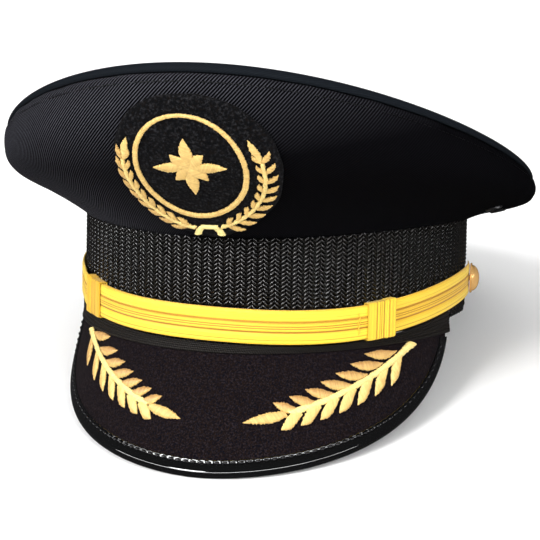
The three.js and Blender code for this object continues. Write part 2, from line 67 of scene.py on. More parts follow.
# Forms of the cap, in millimetres and degrees
BAND = SimpleNamespace(
    half_width=90.8, half_length=99.2, wall=3.0, front=45.0,
    top_back=-6.0, top_side=8.4, bottom_back=5.5, bottom_side=4.7,
)
CROWN = SimpleNamespace(
    half_width=122.5, half_length=142.0, forward=-9.9, wall=2.0,
    rise=33.4, rise_front=28.5, rise_ends=6.1,
    leave=28.5, leave_front=13.9, leave_pull=0.47,
    arrive=114.9, arrive_front=-16.6, arrive_pull=0.38,
    roll=3.9, sink=2.0,
)
PEAK = SimpleNamespace(
    end=74.3, dip=3.3, length=56.7, fullness=1.7, blunt=0.625,
    slope=65.0, slope_side=23.5, wall=2.5, last=0.985, spread=0.36,
)
RIM = SimpleNamespace(width=6.3, wall=0.9, seam=4.9, stitch=3.5)
TRIM = SimpleNamespace(down=4.1, wall=1.4, groove=0.9, ribs=5, past=0.6)
STRAP = SimpleNamespace(
    width=14.5, wall=1.0, lift=1.3, front=8.7, rise=14.6, bend=3.3, lean=2.9, button=97.0, tail=5.0,
)
KEEPER = SimpleNamespace(inner=40.3, outer=48.6, wall=0.7)
BUTTON = SimpleNamespace(radius=7.2, dome=3.4, flange=1.0, shank=1.2)
EYELET = SimpleNamespace(hole=2.2, flange=4.0, height=0.9, angles=(84.0, 97.0), up=0.3)
BRANCH = SimpleNamespace(
    centre=2.5, start=(94.0, 4.9), bow=(55.5, 26.4), tip=(13.8, 34.0), left=0.905,
    stem_end=0.78, stem_width=3.4, pairs=7, tip_width=3.5, height=1.1,
)
# Rows of leaves: first leaf, spacing, how far its foot is from the stem's middle and how that drifts,
# length and how it shrinks, angle and its change, bow, width, its painted light from shade to sheen
# and how that painted light changes across the leaf
BRANCH_ROWS = (
    SimpleNamespace(
        first=84.2, step=7.8, foot=-2.9, drift=0.46, length=18.0, shrink=1.0, angle=-2.0, turn=-2.2,
        bend=-0.06, width=4.2, shade=0.24, across=-0.22),
    SimpleNamespace(
        first=87.5, step=8.08, foot=1.3, drift=0.2, length=13.3, shrink=0.45, angle=66.0, turn=-5.0,
        bend=0.05, width=5.7, shade=0.56, across=0.16),
)
# The left branch's first leaves stand farther out, and those of its lower row splay and are painted
# darker as painted shade, all of it less with every leaf
LEFT_LEAVES = SimpleNamespace(out=3.6, out_left=0.4, splay=14, splay_loss=3.5, shade=0.3, shade_left=0.6)
# Where the middle of the badge lies on the crown's front, and how the flat badge bends with it
LAY = SimpleNamespace(x=0.3, up=52.6, lean=0.037, sag=0.0064, sway=0.00195)
PATCH = SimpleNamespace(x=2.2, y=1.0, half_width=34.1, half_height=40.1, wall=2.4, air=0.6, round=1.4)
RING = SimpleNamespace(half_width=22.2, half_height=27.1, width=2.2, height=1.1)
WREATH = SimpleNamespace(
    x=0.6, y=-1.1, half_width=28.6, half_height=32.7, starts=(8.0, 14.0), end=100.0,
    stem_width=1.6, pairs=9, leaf_width=2.3, tip_length=12.0, tip_width=3.2, tip_lean=10.0, height=1.0,
)
# Its rows of leaves: branch, which side of the stem, angle from it, length and painted shade from the lay's light
WREATH_ROWS = (
    SimpleNamespace(side=-1, row=-1, spread=15.0, length=8.5, shade=0.3),
    SimpleNamespace(side=-1, row=1, spread=25.0, length=6.6, shade=0.45),
    SimpleNamespace(side=1, row=-1, spread=34.0, length=7.9, shade=0.42),
    SimpleNamespace(side=1, row=1, spread=31.0, length=5.3, shade=0.45),
)
BOW = SimpleNamespace(x=2.3, y=-32.1, bar=7.3, width=12.8, height=4.6, leg=2.8, thickness=1.0)
STAR = SimpleNamespace(points=8, long=15.0, short=9.5, width=5.0, height=1.1)
BADGE_FACE = PATCH.air + PATCH.wall + GAP
# The crown's mean radius, which turns angles into lengths of its cloth
CLOTH_RADIUS = 110
# Thin dark lines woven in the strap: place across it, half width and strength
STRAP_LINES = (
    (1.6, 0.1, 0.2), (3.2, 0.1, 0.3), (5.1, 0.4, 0.55), (7.0, 0.2, 0.6), (7.9, 0.2, 0.6),
    (9.4, 0.35, 0.8), (11.2, 0.1, 0.25), (12.8, 0.18, 0.45),
)

# Where the camera stood, seen from the upright cap: angles in degrees, places in millimetres,
# focal length in pixels of an image 540 pixels wide
CAMERA = SimpleNamespace(
    azimuth=14.882, elevation=5.617, roll=-1.218, across=3.41, down=-2.386,
    distance=743.938, height=25.0, focal=1523.954, image=540, sensor=36.0,
)


# Surfaces of the cap

def vec(x, y, z):
    """Points from arrays or numbers that fit together."""
    return np.stack(np.broadcast_arrays(x, y, z), -1).astype(float)


def pair(x, y):
    return np.stack(np.broadcast_arrays(x, y), -1).astype(float)


def unit(v):
    return v / np.linalg.norm(v, axis=-1, keepdims=True)


def frame_about(out):
    """Two directions across a way out of the cap, and the way itself."""
    first = unit(np.cross(UP, out))
    return first, np.cross(out, first), out


def seen_from(azimuth, elevation):
    """The way from the cap to a place seen from its front, from angles in radians."""
    level = math.cos(elevation)
    return np.array([math.sin(azimuth) * level, -math.cos(azimuth) * level, math.sin(elevation)])


def scaled(v, amount):
    return v * np.asarray(amount, float)[..., None]


def smooth(x, start, end):
    """Goes softly from 0 to 1 between start and end."""
    t = np.clip((np.asarray(x, float) - start) / (end - start), 0, 1)
    return t * t * (3 - 2 * t)


def bell(x, width):
    """1 at x = 0, fading to nothing about two widths away."""
    return np.exp(-np.square(np.asarray(x, float) / width))


def to_back(phi):
    """0 at the front and 1 at the back."""
    return (1 - np.cos(phi)) / 2


def to_side(phi):
    """0 at the front and back and 1 at the sides."""
    return (1 - np.cos(2 * phi)) / 2


def outward(phi, half_width, half_length):
    """The level way out of an oval."""
    return unit(vec(half_length * np.sin(phi), -half_width * np.cos(phi), 0.0))


def band_out(phi):
    return outward(phi, BAND.half_width, BAND.half_length)


def band_top(phi):
    return BAND.front + BAND.top_back * to_back(phi) + BAND.top_side * to_side(phi)


def band_bottom(phi):
    return BAND.bottom_back * to_back(phi) + BAND.bottom_side * to_side(phi)


def band_point(phi, z, h):
    """A point on the band's wall at height z, h proud of it."""
    foot = vec(BAND.half_width * np.sin(phi), -BAND.half_length * np.cos(phi), z)
    return foot + scaled(band_out(phi), h)


def panel_point(phi, r):
    """The seam ring of the top panel at r = 1, and the flat of the panel inside it."""
    height = (BAND.front + CROWN.rise + CROWN.rise_front * r * np.cos(phi)
              + CROWN.rise_ends * r * r * np.cos(2 * phi))
    ahead = CROWN.forward - CROWN.half_length * r * np.cos(phi)
    return vec(CROWN.half_width * r * np.sin(phi), ahead, height)


def crown_line(phi, v):
    """The crown's side without its thickness: v goes from the band's top edge to the seam ring."""
    foot = band_point(phi, band_top(phi), 0.0)
    head = panel_point(phi, 1.0)
    out = outward(phi, CROWN.half_width, CROWN.half_length)
    reach = np.linalg.norm(head - foot, axis=-1)
    leave = np.radians(CROWN.leave + CROWN.leave_front * np.cos(phi))
    arrive = np.radians(CROWN.arrive + CROWN.arrive_front * np.cos(phi))

    def along(angle, pull):
        return scaled(scaled(out, np.cos(angle)) + scaled(UP, np.sin(angle)), reach * pull)

    t = np.asarray(v, float)[..., None]
    return ((1 - t) ** 3 * foot + 3 * (1 - t) ** 2 * t * (foot + along(leave, CROWN.leave_pull))
            + 3 * (1 - t) * t ** 2 * (head - along(arrive, CROWN.arrive_pull)) + t ** 3 * head)


def crown_normal(phi, v):
    step = 0.01
    round_it = crown_line(phi + step, v) - crown_line(phi - step, v)
    upward = crown_line(phi, np.minimum(v + step, 1.0)) - crown_line(phi, np.maximum(v - step, 0.0))
    return unit(np.cross(round_it, upward))


def crown_point(phi, v, h):
    return crown_line(phi, v) + scaled(crown_normal(phi, v), h)


def length_along(points):
    """Distance run along the first axis of a grid of points."""
    steps = np.linalg.norm(np.diff(points, axis=0), axis=-1)
    return np.concatenate([np.zeros((1, *steps.shape[1:])), np.cumsum(steps, 0)])


FRONT_V = np.linspace(0, 1, 401)
FRONT_RUN = length_along(crown_line(0.0, FRONT_V))
PROBE = math.radians(10)


def on_front(x, s, h):
    """A point on the front of the crown: x mm to the side and s mm up from the band."""
    v = np.interp(s, FRONT_RUN, FRONT_V)
    radius = crown_line(PROBE, v)[..., 0] / math.sin(PROBE)
    return crown_point(np.arcsin(x / radius), v, h)


def on_badge(x, y, h):
    """A point of the badge: x and y from the middle of its ring."""
    return on_front(LAY.x + x + LAY.lean * y - LAY.sway * y ** 2, LAY.up + y - LAY.sag * y ** 2, h)


def peak_seam(phi):
    """Height of the line where the peak leaves the band."""
    return band_bottom(phi) - PEAK.dip * (1 - np.cos(phi)) ** 2 - GAP


def peak_point(phi, d, h):
    """A point on the peak: d mm down its slope, h proud of its top face."""
    slope = np.radians(PEAK.slope + PEAK.slope_side * (1 - np.cos(phi)))
    out = d * np.cos(slope) + h * np.sin(slope)
    up = -d * np.sin(slope) + h * np.cos(slope)
    return band_point(phi, peak_seam(phi) + up, out)


def peak_radius(d):
    """Radius that turns angles into mm round the peak, d mm down its slope."""
    return (BAND.half_width + BAND.half_length) / 2 + 1 + PEAK.spread * d


def on_peak(u, d, h):
    """The same with u mm round the peak."""
    return peak_point(u / peak_radius(d), d, h)


def peak_depth(s):
    """Depth of the peak at share s of its seam, from -1 to 1."""
    return PEAK.length * (1 - np.abs(s) ** PEAK.fullness) ** PEAK.blunt


def strap_height(phi):
    """Height of the strap's middle line on the band."""
    turn = np.minimum(np.abs(phi) / math.radians(STRAP.button), 1)
    return (STRAP.front + STRAP.rise * np.sin(turn * math.pi / 2) ** STRAP.bend
            - STRAP.lean * np.sin(phi) * (1 + np.cos(phi)) / 2)


# How the cap lies: tipped forward onto the peak's edge and the back of the band

BACK_FOOT = band_point(math.pi, band_bottom(math.pi), 0.0)
FRONT_FOOT = on_peak(0.0, PEAK.length + GAP + RIM.wall, -PEAK.wall - GAP)
TIPPED = math.atan2(BACK_FOOT[2] - FRONT_FOOT[2], BACK_FOOT[1] - FRONT_FOOT[1])
TILT = np.array(Matrix.Rotation(-TIPPED, 3, "X"))


def rest_shift():
    """Where the upright cap's origin lies, from the band's top corners in the frame."""
    ends = np.array([0.0, math.pi / 2, math.pi])
    corners = band_point(ends, band_top(ends) - GAP, 0.0) @ TILT.T * MM
    return np.array(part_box("band")[1]) - corners.max(0)


SHIFT = rest_shift()


def lie(points):
    """Millimetres on the upright cap to metres on the lying one, flattened where it meets the floor."""
    laid = points @ TILT.T * MM + SHIFT
    laid[..., 2] = np.maximum(laid[..., 2], 0.0)
    return laid


# Meshes

class Shape:
    """Closed bodies gathered into one mesh.

    Each face corner has cloth coordinates in mm, and each face a shade from 0 to 1."""

    def __init__(self):
        self.points, self.faces, self.cloth, self.shades = [], [], [], []
        self.count = 0

    def add(self, points, faces, cloth=None, shade=0.5):
        """Adds bodies with their faces turned outward.

        faces is a list of arrays of corners. cloth, if given, matches its first array."""
        points = np.asarray(points, float).reshape(-1, 3)
        volume = 0.0
        for f in faces:
            for k in range(1, f.shape[1] - 1):
                a, b, c = points[f[:, 0]], points[f[:, k]], points[f[:, k + 1]]
                volume += np.einsum("ij,ij->i", a, np.cross(b, c)).sum()
        for n, f in enumerate(faces):
            coords = cloth if n == 0 and cloth is not None else np.zeros((*f.shape, 2))
            if volume < 0:
                f, coords = f[:, ::-1], coords[:, ::-1]
            self.faces.append(f + self.count)
            self.cloth.append(coords)
            shades = shade if n == 0 else float(np.mean(shade))
            self.shades.append(np.broadcast_to(shades, len(f)))
        self.points.append(points)
        self.count += len(points)

    def grid(self, points, cloth=None, rows_meet=False, columns_meet=False, capped=False, shade=0.5):
        """Quads over a grid of points. Where an edge meets the other, cloth has one more row or column."""
        rows, columns = points.shape[:2]
        i = np.arange(rows if rows_meet else rows - 1)[:, None]
        j = np.arange(columns if columns_meet else columns - 1)[None, :]

        def at(a, b):
            return np.broadcast_to((a % rows) * columns + b % columns, (i.size, j.size)).ravel()

        quads = np.stack([at(i, j), at(i + 1, j), at(i + 1, j + 1), at(i, j + 1)], 1)
        coords = None
        if cloth is not None:
            corners = ((0, 0), (1, 0), (1, 1), (0, 1))
            coords = np.stack([cloth[i + a, j + b].reshape(-1, 2) for a, b in corners], 1)
        flat = points.reshape(-1, 3)
        faces = [quads]
        if capped:
            ring = np.arange(columns)
            centres = [points[0].mean(0), points[-1].mean(0)]
            flat = np.concatenate([flat, centres])
            last = (rows - 1) * columns
            for centre, start, order in ((rows * columns, 0, -1), (rows * columns + 1, last, 1)):
                fan = np.stack([np.full(columns, centre), start + np.roll(ring, -1), start + ring], 1)
                faces.append(fan[:, ::order])
        if np.ndim(shade) == 2:
            shade = np.broadcast_to(shade, (i.size, j.size)).ravel()
        self.add(flat, faces, coords, shade)

    def lumps(self, surface, centres, angles, half_length, half_width, lie_at, height, sink, shade=0.5,
              curl=0.0):
        """Threads that show for one stitch each, at [x, y] places on a surface, bowed up in the middle.

        lie_at is how proud of the surface their ends lie, height is half their thickness, and sink is
        how much higher their middle is. curl is how far their ends bend up or down, by the sign of
        their angle."""
        centres = np.asarray(centres, float).reshape(-1, 2)
        angles = np.broadcast_to(angles, len(centres))
        rings = ((-0.8, 0.7), (-0.3, 1.0), (0.3, 1.0), (0.8, 0.7))
        sides = ((1, 0), (0, 1), (-1, 0), (0, -1))
        skin = [(t, size * a, size * b) for t, size in rings for a, b in sides]
        local = np.array([(-1.0, 0.0, 0.0), *skin, (1.0, 0.0, 0.0)])
        end = len(local) - 1
        along, across = local[:, 0] * half_length, local[:, 1] * half_width
        high = lie_at + height * local[:, 2] + sink * (1 - local[:, 0] ** 2)
        bent = curl * np.sign(angles)[:, None] * local[:, 0] ** 3
        x = centres[:, :1] + np.cos(angles)[:, None] * along - np.sin(angles)[:, None] * across
        y = centres[:, 1:] + np.sin(angles)[:, None] * along + np.cos(angles)[:, None] * across + bent
        points = surface(x, y, np.broadcast_to(high, x.shape))
        corner = np.arange(4)
        onward = (corner + 1) % 4
        tips = [np.stack([0 * corner, 1 + corner, 1 + onward], 1),
                np.stack([0 * corner + end, end - 4 + onward, end - 4 + corner], 1)]
        quads = np.concatenate([
            np.stack([ring + corner, ring + 4 + corner, ring + 4 + onward, ring + onward], 1)
            for ring in (1, 5, 9)])
        offset = (np.arange(len(centres)) * len(local))[:, None, None]
        shades = np.broadcast_to(shade, len(centres))
        self.add(points, [(quads + offset).reshape(-1, 4), (np.concatenate(tips) + offset).reshape(-1, 3)],
                 shade=np.repeat(shades, len(quads)))

    def object(self, name, material, slot, replaces=(), sharp=None):
        """Makes the mesh, lays it down with the cap and hides the frame's parts that it replaces."""
        mesh = bpy.data.meshes.new(name)
        faces = [corners for f in self.faces for corners in f.tolist()]
        mesh.from_pydata(lie(np.concatenate(self.points)), [], faces)
        mesh.polygons.foreach_set("use_smooth", np.ones(len(faces), bool))
        layer = mesh.uv_layers.new(name="cloth")
        layer.data.foreach_set("uv", np.concatenate([c.ravel() for c in self.cloth]).astype(np.float32))
        shade = mesh.attributes.new("shade", "FLOAT", "FACE")
        shade.data.foreach_set("value", np.concatenate(self.shades).astype(np.float32))
        mesh.update()
        if sharp:
            mesh.set_sharp_from_angle(angle=math.radians(sharp))
        piece = bpy.data.objects.new(name, mesh)
        bpy.context.scene.collection.objects.link(piece)
        piece.data.materials.append(material)
        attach(piece, "root")
        if replaces:
            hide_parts(*replaces)
        return piece


def angles_round(count):
    """Angles all round the head that meet at the back, with the last one repeated for cloth coordinates."""
    every = np.linspace(-math.pi, math.pi, count + 1)
    return every[:-1], every


class Stitching(Shape):
    """Satin stitching on one surface, of threads laid across a line."""

    def __init__(self, surface, base, height, settings, draw):
        super().__init__()
        self.surface, self.base, self.height, self.draw = surface, base, height, draw
        self.pitch, self.ragged = settings.thread / MM, settings.ragged / MM

    def satin(self, spine, half_width, slant=25.0, shade=0.5, across=0.0, stray=1.0, fuller=1.0, lift=0.0):
        """One stitched body along a spine of [x, y] points, with a ridge for each thread.

        half_width is a function of the share of the length, from 0 to 1. shade, from 0 to 1, is how far its
        colour is painted from shade to sheen, and across is how much lighter its left edge is painted than
        the middle, seen along the spine: both are painted light. stray is how far the threads' ends
        stray, as a share of the setting. fuller and lift raise its top, and all of it."""
        spine = np.asarray(spine, float)
        run = length_along(spine)
        threads = max(int(run[-1] / self.pitch), 3)
        starts, rises = (0.0, 0.3, 0.7), (0.0, 0.85, 0.85)
        t = np.append((np.arange(threads)[:, None] + starts).ravel() / threads, 1.0)
        ridge = np.append(np.tile(rises, threads), 0.0)
        at = np.stack([np.interp(t * run[-1], run, spine[:, k]) for k in (0, 1)], 1)
        ahead = unit(np.gradient(at, axis=0))
        side = np.stack([-ahead[:, 1], ahead[:, 0]], 1)
        half = half_width(t)
        full = half / half.max()
        s = np.sin(np.linspace(-math.pi / 2, math.pi / 2, 9))
        jitter = np.repeat(self.draw.uniform(-1, 1, (threads, 2)), 3, 0)
        jitter = np.concatenate([jitter, jitter[-1:]]) * (self.ragged * stray)
        jitter = jitter * np.minimum(full * 2, 1)[:, None]
        reach = half[:, None] * s + np.where(s < 0, -jitter[:, :1], jitter[:, 1:]) * np.abs(s)
        lead = math.tan(math.radians(slant)) * half[:, None] * s
        x = at[:, :1] + side[:, :1] * reach + ahead[:, :1] * lead
        y = at[:, 1:] + side[:, 1:] * reach + ahead[:, 1:] * lead
        dome = np.sqrt(np.maximum(1 - s ** 2, 0)) ** 0.8
        fat = np.sqrt(np.minimum(full, 1))[:, None]
        padding, thread_height = 0.85, 0.16
        h = self.base + lift + dome * (self.height * fuller * fat * padding + thread_height * ridge[:, None])
        tones = shade + np.repeat(self.draw.uniform(-0.1, 0.1, threads), 3)[:, None]
        # Painted light: one edge of the body is painted lighter than the other
        tones = tones + across * np.append(s[1:] + s[:-1], 0) / 2
        self.grid(self.surface(x, y, h), columns_meet=True, capped=True, shade=tones)


# Finishes

def rgba(color):
    return (*color, 1.0)


class Nodes:
    """A node tree, with short ways to add to it."""

    def __init__(self, tree):
        self.tree = tree

    def node(self, kind, inputs=None, **settings):
        made = self.tree.nodes.new(kind)
        for name, value in settings.items():
            setattr(made, name, value)
        for name, value in (inputs or {}).items():
            self.feed(made.inputs[name], value)
        return made

    def feed(self, socket, value):
        if isinstance(value, bpy.types.NodeSocket):
            self.tree.links.new(value, socket)
        else:
            socket.default_value = value

    def math(self, operation, *values):
        made = self.node("ShaderNodeMath", operation=operation)
        for socket, value in zip(made.inputs, values):
            self.feed(socket, value)
        return made.outputs[0]

    def times(self, first, second):
        return self.math("MULTIPLY", first, second)

    def linear(self, value, factor, offset):
        return self.math("MULTIPLY_ADD", value, factor, offset)


class Finish(Nodes):
    """A material, with the nodes that the cap's finishes share."""

    def __init__(self, name, color, roughness, **sockets):
        self.material = bpy.data.materials.new(name)
        self.material.use_nodes = True
        super().__init__(self.material.node_tree)
        self.shader = self.tree.nodes["Principled BSDF"]
        self.shader.inputs["Base Color"].default_value = rgba(color)
        self.shader.inputs["Roughness"].default_value = roughness
        for name, value in sockets.items():
            self.shader.inputs[name.replace("_", " ")].default_value = value

    def cloth(self):
        """The piece's own coordinates in mm, along and across."""
        layer = self.node("ShaderNodeUVMap", uv_map="cloth")
        split = self.node("ShaderNodeSeparateXYZ", {"Vector": layer.outputs["UV"]})
        return split.outputs["X"], split.outputs["Y"]

    def lines(self, along, across, pitch, angle=0.0):
        """Ridges from 0 to 1 at a pitch in mm, at an angle to the first coordinate."""
        turn = math.radians(angle)
        run = self.math("ADD", self.times(along, -math.sin(turn)), self.times(across, math.cos(turn)))
        return self.linear(self.math("SINE", self.times(run, 2 * math.pi / pitch)), 0.5, 0.5)

    def noise(self, size, detail=2.0, roughness=0.5):
        """Noise with features of a size in mm, fixed to the piece."""
        place = self.node("ShaderNodeTexCoord")
        return self.node("ShaderNodeTexNoise", {
            "Vector": place.outputs["Object"], "Scale": 1 / (size * MM), "Detail": detail,
            "Roughness": roughness}).outputs["Fac"]

    def shade(self):
        return self.node("ShaderNodeAttribute", attribute_name="shade").outputs["Fac"]

    def span(self, value, start, end, low, high):
        """Goes from low to high while the value goes from start to end, and no farther."""
        return self.node("ShaderNodeMapRange", {
            "Value": value, "From Min": start, "From Max": end, "To Min": low, "To Max": high,
        }).outputs["Result"]

    def ramp(self, value, stops):
        made = self.node("ShaderNodeValToRGB", {"Fac": value})
        ramp = made.color_ramp
        while len(ramp.elements) < len(stops):
            ramp.elements.new(0.5)
        for element, (place, color) in zip(ramp.elements, stops):
            element.position = place
            element.color = rgba(color)
        return made.outputs["Color"]

    def mix(self, share, first, second):
        made = self.node("ShaderNodeMix", data_type="RGBA")
        self.feed(made.inputs["Factor"], share)
        for socket, value in ((made.inputs["A"], first), (made.inputs["B"], second)):
            self.feed(socket, value if isinstance(value, bpy.types.NodeSocket) else rgba(value))
        return made.outputs["Result"]

    def paint(self, value):
        self.feed(self.shader.inputs["Base Color"], value)

    def rough(self, value):
        self.feed(self.shader.inputs["Roughness"], value)

    def bump(self, height, depth, strength=1.0):
        """Adds relief of a depth in mm over what is there already."""
        socket = self.shader.inputs["Normal"]
        inputs = {"Height": height, "Distance": depth * MM, "Strength": strength}
        if socket.is_linked:
            inputs["Normal"] = socket.links[0].from_socket
        self.feed(socket, self.node("ShaderNodeBump", inputs).outputs["Normal"])


def shade_of(color, factor):
    """A darker or lighter shade of a colour."""
    return tuple(min(c * factor, 1.0) for c in color)


def twill(settings):
    """Bluish-black worsted with a diagonal twill line.

    Its twill line is painted paler than the cloth as a painted sheen, and paler still on the left, near its top and
    along its foot, as painted light."""
    made = Finish("crown_twill", settings.cloth_color, 0.8, Specular_IOR_Level=0.015)
    along, across = made.cloth()
    wale = made.math("POWER", made.lines(along, across, settings.twill_pitch / MM, settings.twill_angle), 4.0)
    yarn = made.lines(along, across, 0.55, settings.twill_angle + 62)
    # Painted light: the line's sheen is painted strongest on the left of the crown and fades to the right, lifted
    # near its top
    round_it = made.math("SINE", made.linear(along, 1 / CLOTH_RADIUS, 0.35))
    high = made.span(across, 42.0, 74.0, 0.0, 1.1)
    painted_light_left_top = made.span(made.math("SUBTRACT", round_it, high), -0.85, 0.3, 1.0, 0.05)
    # Painted light: the sheen is painted stronger towards the foot, where the cloth faces down
    foot = made.span(across, 0.0, 38.0, 2.2, 1.0)
    uneven = made.linear(made.noise(1.1, 3), 0.9, 0.35)
    raised = made.times(made.times(wale, uneven), made.times(painted_light_left_top, foot))
    made.paint(made.mix(raised, settings.cloth_color, settings.wale_sheen_color))
    made.bump(wale, 0.1)
    made.bump(yarn, 0.03)
    return made.material


def twill_painted_sheen(settings):
    """The same cloth drawn smooth over the edge of the top panel, with hardly any line, painted paler and bluer than
    the side's as a painted sheen.
    """
    made = Finish("crown_twill_painted_sheen", settings.edge_color_with_sheen, 0.7, Specular_IOR_Level=0.04)
    along, across = made.cloth()
    wale = made.lines(along, across, settings.twill_pitch / MM, settings.twill_angle)
    dark, light = (shade_of(settings.edge_color_with_sheen, factor) for factor in (0.75, 1.5))
    made.paint(made.mix(made.times(wale, made.noise(0.9, 3)), dark, light))
    made.bump(made.noise(0.5, 3), 0.04)
    return made.material


def webbing(settings):
    """Shiny black webbing yarn."""
    made = Finish("band_yarn", settings.yarn_color, 0.3, Specular_IOR_Level=1.0, Coat_Weight=0.4,
                  Coat_Roughness=0.15)
    made.rough(made.linear(made.noise(2.5, 2), 0.16, 0.14))
    dark, light = (shade_of(settings.yarn_color, factor) for factor in (0.3, 1.3))
    made.paint(made.mix(made.shade(), dark, light))
    made.bump(made.noise(0.35, 2), 0.05)
    return made.material


def webbing_ground_painted_shade(settings):
    """The dull ground of the webbing, deep between its stitches, painted darker than the yarn as painted shade."""
    made = Finish("band_ground", shade_of(settings.yarn_color, 0.3), 0.3, Specular_IOR_Level=0.3)
    along, across = made.cloth()
    made.bump(made.lines(along, across, settings.row / MM), 0.3)
    # Painted shade: the ground is painted at a fraction of the yarn's colour
    dark, light = (shade_of(settings.yarn_color, factor) for factor in (0.15, 0.6))
    made.paint(made.mix(made.noise(0.6), dark, light))
    return made.material


def black_braid(settings):
    """Black corded braid: each cord shows its slanting wrapped yarn, painted paler on the wrap's crests as a painted
    sheen.
    """
    made = Finish("trim_braid", settings.yarn_color, 0.5, Specular_IOR_Level=0.3)
    along, across = made.cloth()
    wrap = made.lines(along, across, 0.9, 58)
    dots = made.times(wrap, made.noise(0.8, 2, 0.7))
    # Painted sheen: a paler warm colour painted on the crests of the wrap
    crest_sheen = shade_of((1.15, 1.0, 0.9), sum(settings.yarn_color) * 2.0)
    made.paint(made.mix(dots, shade_of(settings.yarn_color, 0.3), crest_sheen))
    made.bump(wrap, 0.1)
    made.bump(made.noise(0.4), 0.04)
    return made.material


def felt(name, color, fleck, size, tint):
    """Matted wool: soft relief with features of a size in mm, and pale flecks among its fibres.

    tint, from 0 to 1, is how far patches of it turn bluish and brown."""
    made = Finish(name, color, 1.0, Specular_IOR_Level=0.02, Sheen_Weight=0.01, Sheen_Roughness=0.6)
    mat = made.noise(size, 4, 0.65)
    middle = sum(color) / 3
    bluish, brown = (tuple(middle * (1 + tint * (part - 1)) for part in parts)
                     for parts in ((0.3, 0.4, 1.1), (2.2, 1.2, 1.0)))
    flecks = made.ramp(made.noise(size, 2, 0.8), ((0.36, bluish), (0.5, color), (0.64, brown)))
    fibre = made.ramp(made.noise(size * 0.8, 3, 0.7), ((0.5, (0, 0, 0)), (0.72, (1, 1, 1))))
    made.paint(made.mix(fibre, flecks, fleck))
    made.bump(mat, 0.3)
    return made.material


def patent(settings):
    """Patent leather: smooth, glossy and black."""
    made = Finish("patent_hide", settings.patent_color, 0.1, Specular_IOR_Level=1.0, Coat_Weight=0.8,
                  Coat_Roughness=0.04)
    made.bump(made.noise(6, 2), 0.05)
    made.bump(made.noise(0.9, 2), 0.006)
    made.rough(made.linear(made.noise(9, 3), 0.06, 0.03))
    return made.material


def gold_braid(settings):
    """Bright gold rayon braid: paler at its borders, painted darker in its grooves and between its wraps as painted
    shade, and lighter or darker as a whole by each piece's painted light.
    """
    color = settings.braid_color
    made = Finish("gold_braid", color, 0.45, Specular_IOR_Level=0.4, Sheen_Weight=0.15)
    along, across = made.cloth()
    wrap = made.lines(along, across, 0.45, 70)
    drawn_out = made.node("ShaderNodeCombineXYZ", {
        "X": made.times(along, 0.08), "Y": made.times(across, 2.2)})
    slub = made.node("ShaderNodeTexNoise", {
        "Vector": drawn_out.outputs[0], "Scale": 1.0, "Detail": 3.0}).outputs["Fac"]
    # Painted shade: the shadow colour, blended in by each face's painted tone
    deep = tuple(settings.braid_shadow)
    body = made.mix(made.shade(), deep, color)
    # The thin woven lines are the braid's own dark pattern, in half the shadow colour
    for place, half, strength in STRAP_LINES:
        line = made.math("COMPARE", across, place, half)
        dashed = made.times(line, made.linear(wrap, strength * 1.2, strength))
        body = made.mix(dashed, body, shade_of(settings.braid_shadow, 0.5))
    # Painted shade between the wrapped threads
    made.paint(made.mix(made.linear(made.times(wrap, slub), -0.5, 0.36), body, deep))
    made.bump(wrap, 0.05)
    made.bump(slub, 0.1)
    return made.material


def gold_thread(settings):
    """Pale gold embroidery thread, painted from tan where its lay turns away from the light to cream where it faces
    it: painted shade and sheen.
    """
    made = Finish("gold_thread", settings.thread_color, 0.38, Specular_IOR_Level=0.45, Sheen_Weight=0.1)
    # Painted light: each face's tone picks painted shade or sheen from the ramp, with some random variation
    lit_tone = made.math("ADD", made.shade(), made.linear(made.noise(1.5, 2), 0.3, -0.15))
    made.paint(made.ramp(lit_tone, (
        (0.05, settings.thread_shadow), (0.5, settings.thread_color), (0.95, settings.thread_light))))
    made.bump(made.noise(0.15, 1), 0.02)
    return made.material


def gilt(settings):
    """Polished gilt brass, faintly hazed."""
    made = Finish("gilt_brass", settings.gilt_color, 0.16, Metallic=0.45)
    made.rough(made.linear(made.noise(3, 3), 0.16, 0.08))
    made.bump(made.noise(1.2, 2), 0.008)
    return made.material


def blacked():
    """Black enamelled metal, with bright patches painted at random as its highlights."""
    black = (0.012, 0.012, 0.013)
    made = Finish("black_enamel", black, 0.3, Specular_IOR_Level=0.5)
    # Painted highlights: random bright patches on the black
    made.paint(made.ramp(made.noise(1.4, 3), ((0.55, black), (0.75, (0.2, 0.2, 0.21)))))
    made.bump(made.noise(0.8, 2), 0.02)
    return made.material


def stitch_thread(name, color, roughness, gloss):
    """Black sewing thread."""
    made = Finish(name, color, roughness, Specular_IOR_Level=gloss)
    made.bump(made.noise(0.3), 0.03)
    return made.material


# Sizes and colours that a user would change

COLOR = {"subtype": "COLOR", "size": 3, "min": 0, "max": 1}


